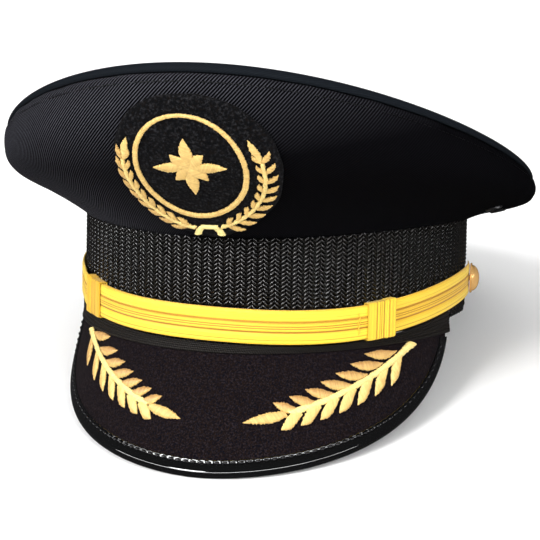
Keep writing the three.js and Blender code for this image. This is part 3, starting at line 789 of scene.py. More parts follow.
class ClothSettings(bpy.types.PropertyGroup):
    """The crown's cloth and its topstitching."""

    cloth_color: FloatVectorProperty(
        name="Cloth", description="Colour of the crown's twill", default=(0.0014, 0.0013, 0.0018), **COLOR)
    # Painted sheen: the colour painted on the twill's raised lines stands in for their sheen in the light
    wale_sheen_color: FloatVectorProperty(
        name="Twill Line", description="Colour of the twill's raised lines in the light",
        default=(0.09, 0.09, 0.108), **COLOR)
    # Painted sheen: the top panel's cloth is painted paler and bluer than the side's cloth
    edge_color_with_sheen: FloatVectorProperty(
        name="Edge", description="Colour of the cloth over the top panel's edge",
        default=(0.0075, 0.0095, 0.0125), **COLOR)
    twill_pitch: FloatProperty(
        name="Twill Pitch", description="Distance between the twill's diagonal lines", unit="LENGTH",
        default=0.9 * MM, min=0.3 * MM, max=4 * MM)
    twill_angle: FloatProperty(
        name="Twill Angle", description="Steepness of the twill line, in degrees", default=41.0, min=0, max=90)
    stitch_pitch: FloatProperty(
        name="Topstitch", description="Distance from one topstitch to the next", unit="LENGTH",
        default=2.6 * MM, min=1 * MM, max=6 * MM)
    ripple: FloatProperty(
        name="Ripple", description="How far the cloth ripples under its seam", unit="LENGTH",
        default=0.22 * MM, min=0, max=1 * MM)


class WebbingSettings(bpy.types.PropertyGroup):
    """The woven band and the corded braid under it."""

    yarn_color: FloatVectorProperty(
        name="Yarn", description="Colour of the black yarn", default=(0.008, 0.0068, 0.0062), **COLOR)
    columns: IntProperty(
        name="Columns", description="Columns of slanting stitches round the band", default=244, min=60, max=400)
    row: FloatProperty(
        name="Row", description="Height of one row of stitches", unit="LENGTH",
        default=1.8 * MM, min=1 * MM, max=5 * MM)


class PeakSettings(bpy.types.PropertyGroup):
    """The felt of the peak and its patent binding."""

    felt_color: FloatVectorProperty(
        name="Felt", description="Colour of the peak's felt", default=(0.0055, 0.0036, 0.0042), **COLOR)
    fleck_color: FloatVectorProperty(
        name="Fleck", description="Colour of the fibres that catch the light",
        default=(0.024, 0.018, 0.021), **COLOR)
    patent_color: FloatVectorProperty(
        name="Patent", description="Colour of the binding", default=(0.0015, 0.0015, 0.0018), **COLOR)


class GoldSettings(bpy.types.PropertyGroup):
    """The strap's braid, the buttons and the gold stitching."""

    braid_color: FloatVectorProperty(
        name="Braid", description="Colour of the strap where it is lit", default=(0.97, 0.76, 0.05), **COLOR)
    braid_shadow: FloatVectorProperty(
        name="Braid Shadow", description="Colour of the strap in its grooves",
        default=(0.66, 0.3, 0.015), **COLOR)
    gilt_color: FloatVectorProperty(
        name="Gilt", description="Colour of the buttons", default=(0.93, 0.55, 0.2), **COLOR)
    thread_color: FloatVectorProperty(
        name="Thread", description="Colour of the embroidery", default=(0.73, 0.48, 0.15), **COLOR)
    thread_shadow: FloatVectorProperty(
        name="Thread Shadow", description="Its colour where the lay turns away",
        default=(0.42, 0.22, 0.07), **COLOR)
    thread_light: FloatVectorProperty(
        name="Thread Light", description="Its colour where the lay faces the light",
        default=(0.91, 0.76, 0.30), **COLOR)
    thread: FloatProperty(
        name="Thread Pitch", description="Distance between the threads of the stitching", unit="LENGTH",
        default=0.42 * MM, min=0.15 * MM, max=1 * MM)
    ragged: FloatProperty(
        name="Ragged", description="How far thread ends stray from a stitched outline", unit="LENGTH",
        default=0.26 * MM, min=0, max=0.5 * MM)


class BadgeSettings(bpy.types.PropertyGroup):
    """The felt ground of the badge."""

    ground_color: FloatVectorProperty(
        name="Ground", description="Colour of the badge's felt", default=(0.0036, 0.0036, 0.004), **COLOR)
    fibres: IntProperty(
        name="Fibres", description="Loose fibres that stand out of the felt", default=16000, min=0, max=30000)
    fibre_length: FloatProperty(
        name="Fibre Length", description="How long the fibres are", unit="LENGTH",
        default=1.2 * MM, min=0.2 * MM, max=4 * MM)


class StageSettings(bpy.types.PropertyGroup):
    """Floor, lights and backdrop."""

    floor_color: FloatVectorProperty(
        name="Floor", description="Colour of the floor", default=(0.97, 0.97, 0.97), **COLOR)
    key: FloatProperty(
        name="Key Light", description="Strength of the light from the left", default=2.2, min=0)
    fill: FloatProperty(
        name="Fill Light", description="Strength of the light from the right", default=1.45, min=0)
    top: FloatProperty(
        name="Top Light", description="Strength of the light from above", default=1.3, min=0)
    strip: FloatProperty(
        name="Strip", description="Strength of the bright strip round the backdrop that glossy pieces mirror",
        default=10.0, min=0)
    surround: FloatProperty(
        name="Surround", description="Strength of the white backdrop's light", default=0.05, min=0)


# Pieces

class MakeCrown(bpy.types.Operator):
    """Make the crown's twill side and top panel, with their seam and topstitching"""

    bl_idname = "cap.make_crown"
    bl_label = "Crown"

    def execute(self, context):
        settings = context.scene.cap_cloth
        self.side(settings, twill(settings))
        self.top(twill_painted_sheen(settings))
        self.topstitch(settings)
        return {"FINISHED"}

    def relief(self, phi, v, below_seam, settings):
        """How the cloth of the side leaves its smooth form: slack waves, puckers, and tucks at its seams.

        The first three values turn angles and shares into mm at the back seam and the dimple."""
        behind, dimple_at, dimple_up = 115, 100, 90
        slack = 0.35 * np.sin(3 * phi + 0.6) * np.sin(5 * phi - 1.1) * np.sin(np.pi * v) ** 2
        puckers = (np.sin(31 * phi + 1.3) + 0.6 * np.sin(53 * phi)) * bell(below_seam, 11.0)
        tuck = -0.75 * bell(below_seam, 0.8)
        back_seam = -0.5 * bell((math.pi - np.abs(phi)) * behind, 1.1)
        dimple = -0.7 * bell((phi + 1.14) * dimple_at, 4.0) * bell((v - 0.24) * dimple_up, 4.5)
        return slack + settings.ripple / MM * puckers + tuck + back_seam + dimple

    def side(self, settings, material):
        phi, every = angles_round(400)
        outer = np.concatenate([np.linspace(0, 0.94, 48), np.linspace(0.95, 1, 9)])
        inner = np.linspace(1, 0, 9)
        bare = crown_line(every[None, :], outer[:, None])
        up = length_along(bare)
        below_seam = (up[-1] - up).T[:-1]
        relief = self.relief(phi[:, None], outer, below_seam, settings)
        skin = crown_point(phi[:, None], outer, relief)
        back = crown_point(phi[:, None], inner, np.full(len(inner), -CROWN.wall))
        round_it = CLOTH_RADIUS * every[:, None]
        stretch = 0.0016
        cloth = pair(round_it, (up * (1 - stretch * up)).T)
        inside = pair(round_it, np.linspace(80, 0, len(inner) + 1))
        shape = Shape()
        shape.grid(np.concatenate([skin, back], 1), np.concatenate([cloth, inside], 1),
                   rows_meet=True, columns_meet=True)
        piece = shape.object("crown_side_twill", material, "crown_cloth", ["crown_side"])
        self.pierce(piece)

    def pierce(self, piece):
        """Cuts the holes of the four eyelets."""
        shape = Shape()
        turn = np.linspace(0, 2 * math.pi, 25)[:-1]
        for place, frame_of in eyelet_places():
            ring = scaled(frame_of[0], np.cos(turn)) + scaled(frame_of[1], np.sin(turn))
            rods = np.stack([place + EYELET.hole * ring + frame_of[2] * reach for reach in (-6.0, 6.0)])
            shape.grid(rods, columns_meet=True, capped=True)
        drill = shape.object("eyelet_drill", piece.data.materials[0], "crown_cloth")
        cut = piece.modifiers.new("eyelets", "BOOLEAN")
        cut.object = drill
        cut.solver = "EXACT"
        bpy.context.view_layer.update()
        worked_out = piece.evaluated_get(bpy.context.evaluated_depsgraph_get())
        pierced = bpy.data.meshes.new_from_object(worked_out)
        piece.modifiers.clear()
        piece.data = pierced
        bpy.data.objects.remove(drill)

    def top(self, material):
        phi, _ = angles_round(400)

        def rolled(turn, radius):
            turn = np.radians(turn)
            tuck = 0.7 * bell(turn * radius, 0.8)
            out = outward(phi[:, None], CROWN.half_width, CROWN.half_length)
            return (panel_point(phi, 1.0)[:, None] + scaled(out, (radius - tuck) * np.cos(turn) - CROWN.roll)
                    + scaled(UP, radius * np.sin(turn) + GAP))

        def panel(r, h):
            waves = 0.25 * np.sin(9 * phi[:, None] + 1) * smooth(r, 0.4, 0.9) * (1 - smooth(r, 0.9, 0.99))
            rise = CROWN.roll + GAP + h - CROWN.sink * (1 - r ** 2) + waves
            return panel_point(phi[:, None], r) + scaled(UP, rise)

        r = np.concatenate([np.linspace(0.03, 0.9, 22), [0.93, 0.955]])
        turns = np.linspace(90, 0, 15)
        lining = rolled(np.array([0.0, 30, 60]), CROWN.roll - CROWN.wall)
        parts = [panel(r, 0.0), rolled(turns, CROWN.roll), lining, panel(np.linspace(0.93, 0.05, 8), -CROWN.wall)]
        points = np.concatenate(parts, 1)
        flat = points[..., :2].copy()
        start = len(r)
        over = np.radians(90 - turns) * CROWN.roll
        edge = unit(flat[:, start:start + 1])
        flat[:, start:start + len(turns)] = flat[:, start:start + 1] + scaled(edge, over)
        flat = np.concatenate([flat, flat[:1]])
        shape = Shape()
        shape.grid(points.transpose(1, 0, 2), flat.transpose(1, 0, 2), columns_meet=True, capped=True)
        shape.object("crown_top_twill", material, "crown_cloth", ["crown_top"])

    def topstitch(self, settings):
        below, height = 3.4, 92.0
        every = np.linspace(-math.pi, math.pi, 721)
        v = np.linspace(0.85, 1, 61)
        left = length_along(crown_line(every[None, :], v[:, None]))
        left = left[-1] - left
        line_v = np.array([np.interp(-below, -left[:, k], v) for k in range(len(every))])
        run = length_along(crown_line(every, line_v))
        count = int(run[-1] / (settings.stitch_pitch / MM))
        centres = (np.arange(count) + 0.5) * run[-1] / count

        def surface(x, y, h):
            phi = np.interp(x, run, every)
            return crown_point(phi, np.interp(phi, every, line_v) + y / height, h)

        shape = Shape()
        shape.lumps(surface, np.stack([centres, np.zeros(count)], 1), 0.0,
                    half_length=settings.stitch_pitch / MM * 0.4, half_width=0.26, lie_at=0.0, height=0.2, sink=0.12)
        thread = stitch_thread("topstitch_thread", shade_of(settings.cloth_color, 1.4), roughness=0.5, gloss=0.3)
        shape.object("crown_topstitch", thread, "crown_cloth")


def eyelet_places():
    """Each eyelet's middle on the crown, and two directions in its plane and the one out of it."""
    for side in (-1, 1):
        for angle in EYELET.angles:
            phi = side * math.radians(angle)
            yield crown_point(phi, EYELET.up, 0.0), frame_about(crown_normal(phi, EYELET.up))


def lathe(shape, place, frame_of, profile, segments=48, closed=False):
    """Turns a profile of [radius, height] about the way out of a place."""
    turn = np.linspace(0, 2 * math.pi, segments + 1)[:-1]
    first, second, out = frame_of
    ring = scaled(first, np.cos(turn)) + scaled(second, np.sin(turn))
    rows = np.stack([place + ring * radius + out * height for radius, height in profile])
    shape.grid(rows, columns_meet=True, rows_meet=closed, capped=not closed)


class MakeEyelets(bpy.types.Operator):
    """Make the four vent eyelets under the crown's overhang"""

    bl_idname = "cap.make_eyelets"
    bl_label = "Eyelets"

    def execute(self, context):
        material = blacked()
        names = [f"eyelet_{side}_{where}" for side in ("left", "right") for where in ("front", "back")]
        for name, (place, frame_of) in zip(names, eyelet_places()):
            shape = Shape()
            lathe(shape, place, frame_of, self.profile(), closed=True)
            shape.object(name + "_ring", material, "blacked_metal", [name])
        return {"FINISHED"}

    def profile(self):
        """A rolled flange with a short barrel through the cloth."""
        middle = (EYELET.hole + EYELET.flange) / 2
        reach = (EYELET.flange - EYELET.hole) / 2
        turn = np.linspace(0, math.pi, 13)
        over = [(middle + reach * math.cos(t), GAP * 0.5 + EYELET.height * math.sin(t)) for t in turn]
        foot = -CROWN.wall - 0.3
        return [*over, (EYELET.hole - 0.1, foot), (EYELET.hole + 0.25, foot), (EYELET.hole + 0.4, GAP * 0.5)]


class MakeBand(bpy.types.Operator):
    """Make the woven band: its ground and its herringbone of slanting stitches"""

    bl_idname = "cap.make_band"
    bl_label = "Band"

    def execute(self, context):
        settings = context.scene.cap_webbing
        self.ground(settings)
        self.stitches(settings)
        return {"FINISHED"}

    def ground(self, settings):
        around = np.linspace(-math.pi, math.pi, 1441)
        run = length_along(band_point(around, 20.0, 0.0))
        every = np.interp(np.linspace(0, run[-1], settings.columns * 4 + 1), run, around)
        phi = every[:-1]
        sunk, ridge = 0.5, 0.52
        t = np.concatenate([np.linspace(0, 1, 9), np.linspace(1, 0, 3)])
        h = np.zeros((len(phi), 12)) + np.concatenate([np.full(9, -sunk), np.full(3, -BAND.wall)])
        h[::4, :9] += ridge
        low, high = band_bottom(every)[:, None], band_top(every)[:, None] - GAP
        z = low + (high - low) * t
        points = band_point(phi[:, None], z[:-1], h)
        run = np.linspace(0, run[-1], len(every))[:, None]
        cloth = pair(run, z)
        cloth = np.concatenate([cloth, cloth[:, :1]], 1)
        shape = Shape()
        shape.grid(points, cloth, rows_meet=True, columns_meet=True)
        shape.object("band_ground", webbing_ground_painted_shade(settings), "band_webbing", ["band"], sharp=40)

    def stitches(self, settings):
        """One body for each stitch that shows, its lean changing from column to column."""
        draw = np.random.default_rng(11)
        every = np.linspace(-math.pi, math.pi, 1441)
        run = length_along(band_point(every, 20.0, 0.0))
        width = run[-1] / settings.columns
        row = settings.row / MM

        def surface(x, y, h):
            return band_point(np.interp(x, run, every), y, h)

        centres, angles = [], []
        for column in range(settings.columns):
            x = (column + 0.5) * width
            phi = np.interp(x, run, every)
            low, high = band_bottom(phi) + 0.6, band_top(phi) + 0.3
            over_peak = abs(phi) < math.radians(PEAK.end + 0.4)
            hidden_from = -math.inf if over_peak else strap_height(phi) - STRAP.width / 2
            hidden_to = strap_height(phi) + STRAP.width / 2 + 0.2
            strapped = abs(phi) < math.radians(STRAP.button + STRAP.tail + 1)
            lean = 1 if column % 2 else -1
            for y in np.arange(high - row * 0.5, low, -row):
                if strapped and hidden_from < y < hidden_to:
                    continue
                centres.append([x, y])
                angles.append(lean * math.radians(30))
        centres = np.array(centres)
        centres += draw.normal(0, 0.05, centres.shape)
        shape = Shape()
        angles = np.array(angles) + draw.normal(0, 0.04, len(centres))
        shape.lumps(surface, centres, angles, half_length=0.6 * width, half_width=0.33 * row, lie_at=-0.3,
                    height=0.46, sink=0.32, shade=draw.uniform(0.2, 0.8, len(centres)), curl=0.95)
        shape.object("band_stitches", webbing(settings), "band_webbing")


class MakeTrim(bpy.types.Operator):
    """Make the corded braid over the joint of band and peak"""

    bl_idname = "cap.make_trim"
    bl_label = "Peak Trim"

    def execute(self, context):
        settings = context.scene.cap_webbing
        half = math.radians(PEAK.end + TRIM.past)
        phi = np.linspace(-half, half, 301)[:, None]
        high = strap_height(phi) - STRAP.width / 2 - KEEPER.wall - 2 * GAP
        on_band = high - peak_seam(phi) - GAP
        length = on_band + TRIM.down
        share = np.linspace(0, 1, TRIM.ribs * 9 + 1)
        cord = np.abs(np.sin(np.pi * TRIM.ribs * share)) ** 0.55
        down = share * length
        proud = TRIM.wall - TRIM.groove * (1 - cord)
        turn = 1.2
        fold = smooth(down - on_band, -turn, turn)[..., None]
        band_part = band_point(phi, high - np.minimum(down, on_band + turn), proud)
        peak_part = peak_point(phi, np.maximum(down - on_band, -turn), proud)
        outer = band_part * (1 - fold) + peak_part * fold
        inner = [peak_point(phi, TRIM.down, GAP), peak_point(phi, 0.6, GAP), band_point(phi, high, GAP)]
        run = length_along(outer[:, len(share) // 2])[:, None]
        cloth = pair(run, np.concatenate([down, down[:, [-1, -1, 0, 0]]], 1))
        shape = Shape()
        shape.grid(np.concatenate([outer, *inner], 1), cloth, columns_meet=True, capped=True)
        shape.object("peak_trim_cords", black_braid(settings), "ribbed_braid", ["peak_trim"])
        return {"FINISHED"}


def edge_run(count):
    """Points along the peak's edge as [u, d], closer together at the corners, and the way in from each."""
    t = np.linspace(-1, 1, count)
    s = PEAK.last * np.sin(t * math.pi / 2)
    depth = peak_depth(s)
    edge = np.stack([s * math.radians(PEAK.end) * peak_radius(depth), depth], 1)
    ahead = unit(np.gradient(edge, axis=0))
    return edge, np.stack([ahead[:, 1], -ahead[:, 0]], 1)


class MakePeak(bpy.types.Operator):
    """Make the felt peak"""

    bl_idname = "cap.make_peak"
    bl_label = "Peak"

    def execute(self, context):
        settings = context.scene.cap_peak
        s = PEAK.last * np.sin(np.linspace(-1, 1, 241) * math.pi / 2)[:, None]
        phi, depth = s * math.radians(PEAK.end), peak_depth(s)
        down = np.linspace(0, 1, 49)
        under = np.linspace(1, 0, 17)
        top = peak_point(phi, depth * down, 0.0)
        bottom = peak_point(phi, depth * under, -PEAK.wall)
        shape = Shape()
        shape.grid(np.concatenate([top, bottom], 1), columns_meet=True, capped=True)
        material = felt("peak_felt", settings.felt_color, settings.fleck_color, size=0.9, tint=0.8)
        shape.object("peak_felt", material, "peak_felt", ["peak"], sharp=50)
        return {"FINISHED"}


class MakeRim(bpy.types.Operator):
    """Make the patent binding, drawn in along its stitching"""

    bl_idname = "cap.make_rim"
    bl_label = "Peak Rim"

    def execute(self, context):
        settings = context.scene.cap_peak
        edge, inwards = edge_run(721)
        run = length_along(edge)
        places = [on_peak(edge[:, 0] + inwards[:, 0] * w, edge[:, 1] + inwards[:, 1] * w, h)
                  for w, h in self.section(run)]
        shape = Shape()
        shape.grid(np.stack(places, 1), columns_meet=True, capped=True)
        shape.object("peak_rim_patent", patent(settings), "patent_leather", ["peak_rim"], sharp=60)
        self.stitches(edge, inwards, run)
        return {"FINISHED"}

    def section(self, run):
        """The binding's section as [inwards, height] arrays along its run: lip, seam, bead and underside."""
        top, bottom = GAP + RIM.wall, -PEAK.wall - GAP - RIM.wall
        radius = (top - bottom) / 2
        middle = (top + bottom) / 2
        nose = radius - GAP - RIM.wall
        beat = np.cos(2 * math.pi * run / RIM.stitch)
        lines = []
        for w in (6.3, 6.25, 6.1, 5.8, 5.5, 5.2, 4.9, 4.6, 4.3, 4.0, 3.5, 3.0, 2.5, 2.0):
            lip = -0.55 * smooth(w, 5.9, RIM.width) ** 2
            drawn = (-0.3 - 0.2 * beat) * bell(w - RIM.seam, 0.8)
            puff = 0.09 * beat * bell(w - RIM.seam + 1.3, 0.9)
            swell = 0.5 * smooth(w, 4.4, 0.4) - 0.5
            lines.append((w + 0.08 * beat * smooth(w, 4.9, RIM.width), top + lip + drawn - puff + swell))
        for turn in np.linspace(0, math.pi, 25):
            lines.append((nose - radius * math.sin(turn), middle + radius * math.cos(turn)))
        inside = bottom + RIM.wall
        lines += [(3.0, bottom), (4.9, bottom + 0.25), (6.2, bottom), (RIM.width, inside), (-GAP, inside),
                  (-GAP, GAP), (5.9, GAP)]
        return [(w + 0 * run, h + 0 * run) for w, h in lines]

    def stitches(self, edge, inwards, run):
        def surface(x, y, h):
            u, d = (np.interp(x, run, edge[:, k]) + np.interp(x, run, inwards[:, k]) * (RIM.seam + y)
                    for k in (0, 1))
            return on_peak(u, d, h)

        count = int(run[-1] / RIM.stitch) - 1
        centres = np.stack([(np.arange(count) + 1) * RIM.stitch, np.zeros(count)], 1)
        shape = Shape()
        shape.lumps(surface, centres, 0.0, half_length=1.1, half_width=0.5, lie_at=GAP + RIM.wall - 0.55,
                    height=0.5, sink=0.3)
        thread = stitch_thread("rim_thread", (0.014, 0.014, 0.016), roughness=0.22, gloss=0.6)
        shape.object("peak_rim_stitches", thread, "patent_leather")


# The strap's braid across its width: where each cord ends, and how deep the groove beside it is
STRAP_CORDS = (
    (0.0, 0.45), (3.1, 0.08), (4.9, 0.4), (5.9, 0.2), (7.0, 0.16), (7.8, 0.16), (9.5, 0.5), (12.7, 0.12),
    (14.5, 0.45),
)
# The keeper's braid along the strap, from its inner end, as shares of its length
KEEPER_CORDS = (
    (0.0, 0.3), (0.3, 0.12), (0.42, 0.1), (0.5, 0.14), (0.6, 0.2), (0.66, 0.1), (0.75, 0.4), (0.9, 0.25),
    (1.0, 0.3),
)


def corded(cords, samples):
    """Places across a braid, and how deep each lies in the grooves beside its cord."""
    places, depths = [], []
    for (start, first), (end, second) in zip(cords, cords[1:]):
        width = end - start
        for t in np.linspace(0, 1, samples)[:-1]:
            places.append(start + t * width)
            depths.append(first * bell(t * width, 0.3 * width) + second * bell((1 - t) * width, 0.3 * width))
    return np.array([*places, cords[-1][0]]), np.array([*depths, cords[-1][1]])


def between(values):
    return (values[1:] + values[:-1]) / 2


class MakeStraps(bpy.types.Operator):
    """Make the two halves of the gold strap, with the stitched end of the upper one"""

    bl_idname = "cap.make_straps"
    bl_label = "Straps"

    def execute(self, context):
        material = gold_braid(context.scene.cap_gold)
        end = STRAP.button + STRAP.tail
        middle = (KEEPER.inner + KEEPER.outer) / 2
        over = STRAP.wall + GAP
        crossing = [-math.radians(KEEPER.outer + 12), -math.radians(KEEPER.outer + 1)]
        # The inner half is painted darker than the outer, partly as painted shade
        self.strap("strap_inner", -middle, end, lambda phi: STRAP.lift + 0 * phi, material, lit_tone=0.78)
        self.strap("strap_outer", -end, middle, lambda phi: STRAP.lift + over * smooth(phi, *crossing),
                   material, lit_tone=0.95)
        self.end_stitches(material, over)
        return {"FINISHED"}

    def strap(self, name, start, end, height, material, lit_tone):
        """One half, with its wide border cords lighter than those in the middle. How light the half is painted
        stands partly for painted light, and its grooves, back and sides are painted darker as painted shade.
        """
        phi = np.radians(np.linspace(start, end, 321))[:, None]
        across, groove = corded(STRAP_CORDS, 8)
        proud = height(phi) + STRAP.wall - groove
        face = band_point(phi, strap_height(phi) + (STRAP.width / 2 - across), proud)
        back = band_point(phi, strap_height(phi) + np.array([-1, 1]) * STRAP.width / 2, height(phi) + 0.1)
        points = np.concatenate([face, back], 1)
        run = length_along(face[:, 0])[:, None]
        width = np.concatenate([across, [STRAP.width, 0.0, 0.0]])
        border = np.where((across < 4.5) | (across > 9.9), 0.08, -0.2)
        # Painted shade in the grooves and on the back and sides
        tones = np.concatenate([between(np.clip(lit_tone + border - groove * 1.3, 0, 1)), [lit_tone - 0.3] * 3])
        shape = Shape()
        shape.grid(points, pair(run, width), columns_meet=True, capped=True, shade=tones[None, :])
        shape.object(name + "_braid", material, "gold_braid", [name], sharp=60)

    def end_stitches(self, material, over):
        """Short stitches that close the upper half's folded end, beside its keeper."""
        run_at = math.radians(KEEPER.inner - 2.6) * BAND.half_length

        def surface(x, y, h):
            angle = x / BAND.half_length
            return band_point(angle, strap_height(angle) + y, h)

        centres = [[run_at + 0.5 * (k % 2), STRAP.width / 2 - place]
                   for k, place in enumerate((3.4, 5.2, 6.4, 7.6, 9.4, 11.2))]
        shape = Shape()
        shape.lumps(surface, centres, math.radians(68), half_length=1.1, half_width=0.26,
                    lie_at=STRAP.lift + over + STRAP.wall, height=0.2, sink=0.14, shade=0.45)
        shape.object("strap_end_stitches", material, "gold_braid")


class MakeKeepers(bpy.types.Operator):
    """Make the two keepers that hold the strap's halves together"""

    bl_idname = "cap.make_keepers"
    bl_label = "Keepers"

    def execute(self, context):
        material = gold_braid(context.scene.cap_gold)
        # Painted light: the left keeper is painted darker than the right as painted shade
        for side, name, lit_tone in ((-1, "keeper_left", 0.5), (1, "keeper_right", 0.8)):
            self.keeper(name, side, material, lit_tone)
        return {"FINISHED"}

    def keeper(self, name, side, material, lit_tone):
        """A loop round both halves, with a raised cord near its outer end. Its tone is how light it is painted, as
        painted light, and its grooves and lining are painted darker as painted shade.
        """
        shares, groove = corded(KEEPER_CORDS, 7)
        raised = 0.35 * smooth(shares, 0.62, 0.72)
        phi = side * np.radians(KEEPER.inner + (KEEPER.outer - KEEPER.inner) * shares)
        outer, outward_of = self.loop(KEEPER.wall)
        inner, _ = self.loop(0.0)
        lift = (raised - groove * 0.8)[:, None]
        z = outer[:, 0] + outward_of[:, 0] * lift
        h = outer[:, 1] + np.maximum(outward_of[:, 1], 0) * lift
        skin = band_point(phi[:, None], strap_height(phi[:, None]) + z, h)
        lining = band_point(phi[::-1, None], strap_height(phi[::-1, None]) + inner[:, 0], inner[:, 1])
        # Painted shade in the grooves and on the lining
        tones = between(np.clip(lit_tone - groove * 1.4, 0, 1))
        tones = np.concatenate([tones, [0.5], np.full(len(tones), 0.3), [0.5]])
        cloth_length = 17.0
        run = np.concatenate([shares, shares[::-1], shares[:1]]) * cloth_length
        around = np.append(length_along(outer), length_along(outer)[-1] + 1)
        shape = Shape()
        shape.grid(np.concatenate([skin, lining]), pair(around[None, :], run[:, None]),
                   rows_meet=True, columns_meet=True, shade=tones[:, None])
        shape.object(name + "_braid", material, "gold_braid", [name], sharp=60)

    def loop(self, wall):
        """The section round both layers as [height, depth], with rounded corners, and the way out of it."""
        radius = 0.35 + wall * 0.5
        back = STRAP.lift - GAP - wall + radius
        front = STRAP.lift + 2 * STRAP.wall + 2 * GAP + wall - radius
        half = STRAP.width / 2 + GAP + wall - radius
        places, ways = [], []
        for k, centre in enumerate(((half, front), (-half, front), (-half, back), (half, back))):
            for turn in np.radians(90 * k + np.linspace(0, 90, 6)):
                way = (math.cos(turn), math.sin(turn))
                places.append((centre[0] + radius * way[0], centre[1] + radius * way[1]))
                ways.append(way)
        return np.array(places), np.array(ways)


class MakeButtons(bpy.types.Operator):
    """Make the two gilt buttons that fasten the strap"""

    bl_idname = "cap.make_buttons"
    bl_label = "Buttons"

    def execute(self, context):
        material = gilt(context.scene.cap_gold)
        for side, name in ((-1, "button_left"), (1, "button_right")):
            phi = side * math.radians(STRAP.button)
            shape = Shape()
            place = band_point(phi, strap_height(phi), 0.0)
            lathe(shape, place, frame_about(band_out(phi)), self.profile(), segments=64)
            shape.object(name + "_gilt", material, "gilt_metal", [name], sharp=50)
        return {"FINISHED"}

    def profile(self):
        """Shank, rolled rim, a step and the dome."""
        seat, half = STRAP.lift + STRAP.wall + GAP, BUTTON.flange / 2
        rim = [(BUTTON.radius - half + half * math.cos(t), seat + half + half * math.sin(t))
               for t in np.linspace(-math.pi / 2, math.pi * 0.6, 12)]
        foot = seat + BUTTON.flange - 0.1
        dome = [((BUTTON.radius - 1) * math.sin(t), foot + (BUTTON.dome + 0.1) * math.cos(t))
                for t in np.linspace(math.pi / 2, 0.05, 16)]
        return [(0.2, GAP), (BUTTON.shank, GAP), (BUTTON.shank, seat), *rim, *dome]


def leaf_half(width, base=0.05, tip=0.04):
    """Half width of a leaf of a given width, as a function of the share of its length."""
    def half(t):
        return width * (base * (1 - t) + tip * t + 0.46 * np.sin(np.pi * t ** 0.95) ** 1.1)
    return half


def leaf_spine(start, angle, length, bend=0.0):
    """A leaf's middle line from its foot, bowed to one side by a share of its length."""
    t = np.linspace(0, 1, 13)
    bow = bend * length * 4 * t * (1 - t)
    return np.stack([start[0] + math.cos(angle) * length * t - math.sin(angle) * bow,
                     start[1] + math.sin(angle) * length * t + math.cos(angle) * bow], 1)


class MakeBranches(bpy.types.Operator):
    """Stitch the two gold branches on the peak"""

    bl_idname = "cap.make_branches"
    bl_label = "Branches"

    def execute(self, context):
        settings = context.scene.cap_gold
        material = gold_thread(settings)
        draw = np.random.default_rng(5)
        far = LEFT_LEAVES
        points = [np.array(p) for p in (BRANCH.start, BRANCH.bow, BRANCH.tip)]
        t = np.linspace(0, 1, 61)[:, None]
        curve = (1 - t) ** 2 * points[0] + 2 * (1 - t) * t * points[1] + t ** 2 * points[2]
        stem = curve[t[:, 0] <= BRANCH.stem_end]
        for side, name in ((-1, "peak_branch_left"), (1, "peak_branch_right")):
            def on_side(u, d, h, side=side, reach=BRANCH.left if side < 0 else 1.0):
                return on_peak(BRANCH.centre + side * (BRANCH.tip[0] + reach * (u - BRANCH.tip[0])), d, h)

            sewn = Stitching(on_side, GAP, BRANCH.height, settings, draw)
            for row in BRANCH_ROWS:
                upper, splayed = row.foot < 0, side < 0 < row.foot
                for k in range(BRANCH.pairs):
                    u = row.first - row.step * k + (far.out * far.out_left ** k if side < 0 else 0.0)
                    start = (u, np.interp(-u, -stem[:, 0], stem[:, 1]) + row.foot + row.drift * k)
                    splay = far.splay - far.splay_loss * k if splayed else 0.0
                    # Painted shade: the left branch's lower leaves are painted darker
                    darker = far.shade * far.shade_left ** k if splayed else 0.0
                    spine = leaf_spine(start, math.pi - math.radians(row.angle + row.turn * k + splay),
                                       row.length - row.shrink * k, row.bend)
                    sewn.satin(spine, leaf_half(row.width), slant=28.0 if upper else -28.0,
                               shade=row.shade - darker, across=row.across)
            tip = curve[t[:, 0] >= BRANCH.stem_end]
            sewn.satin(tip, leaf_half(BRANCH.tip_width, 0.4), shade=0.42)
            sewn.satin(stem, lambda t: BRANCH.stem_width * (0.43 + 0.25 * bell(t, 0.09)),
                       slant=40.0, shade=0.8, fuller=1.12)
            sewn.object(name + "_stitching", material, "gold_thread", [name])
        return {"FINISHED"}


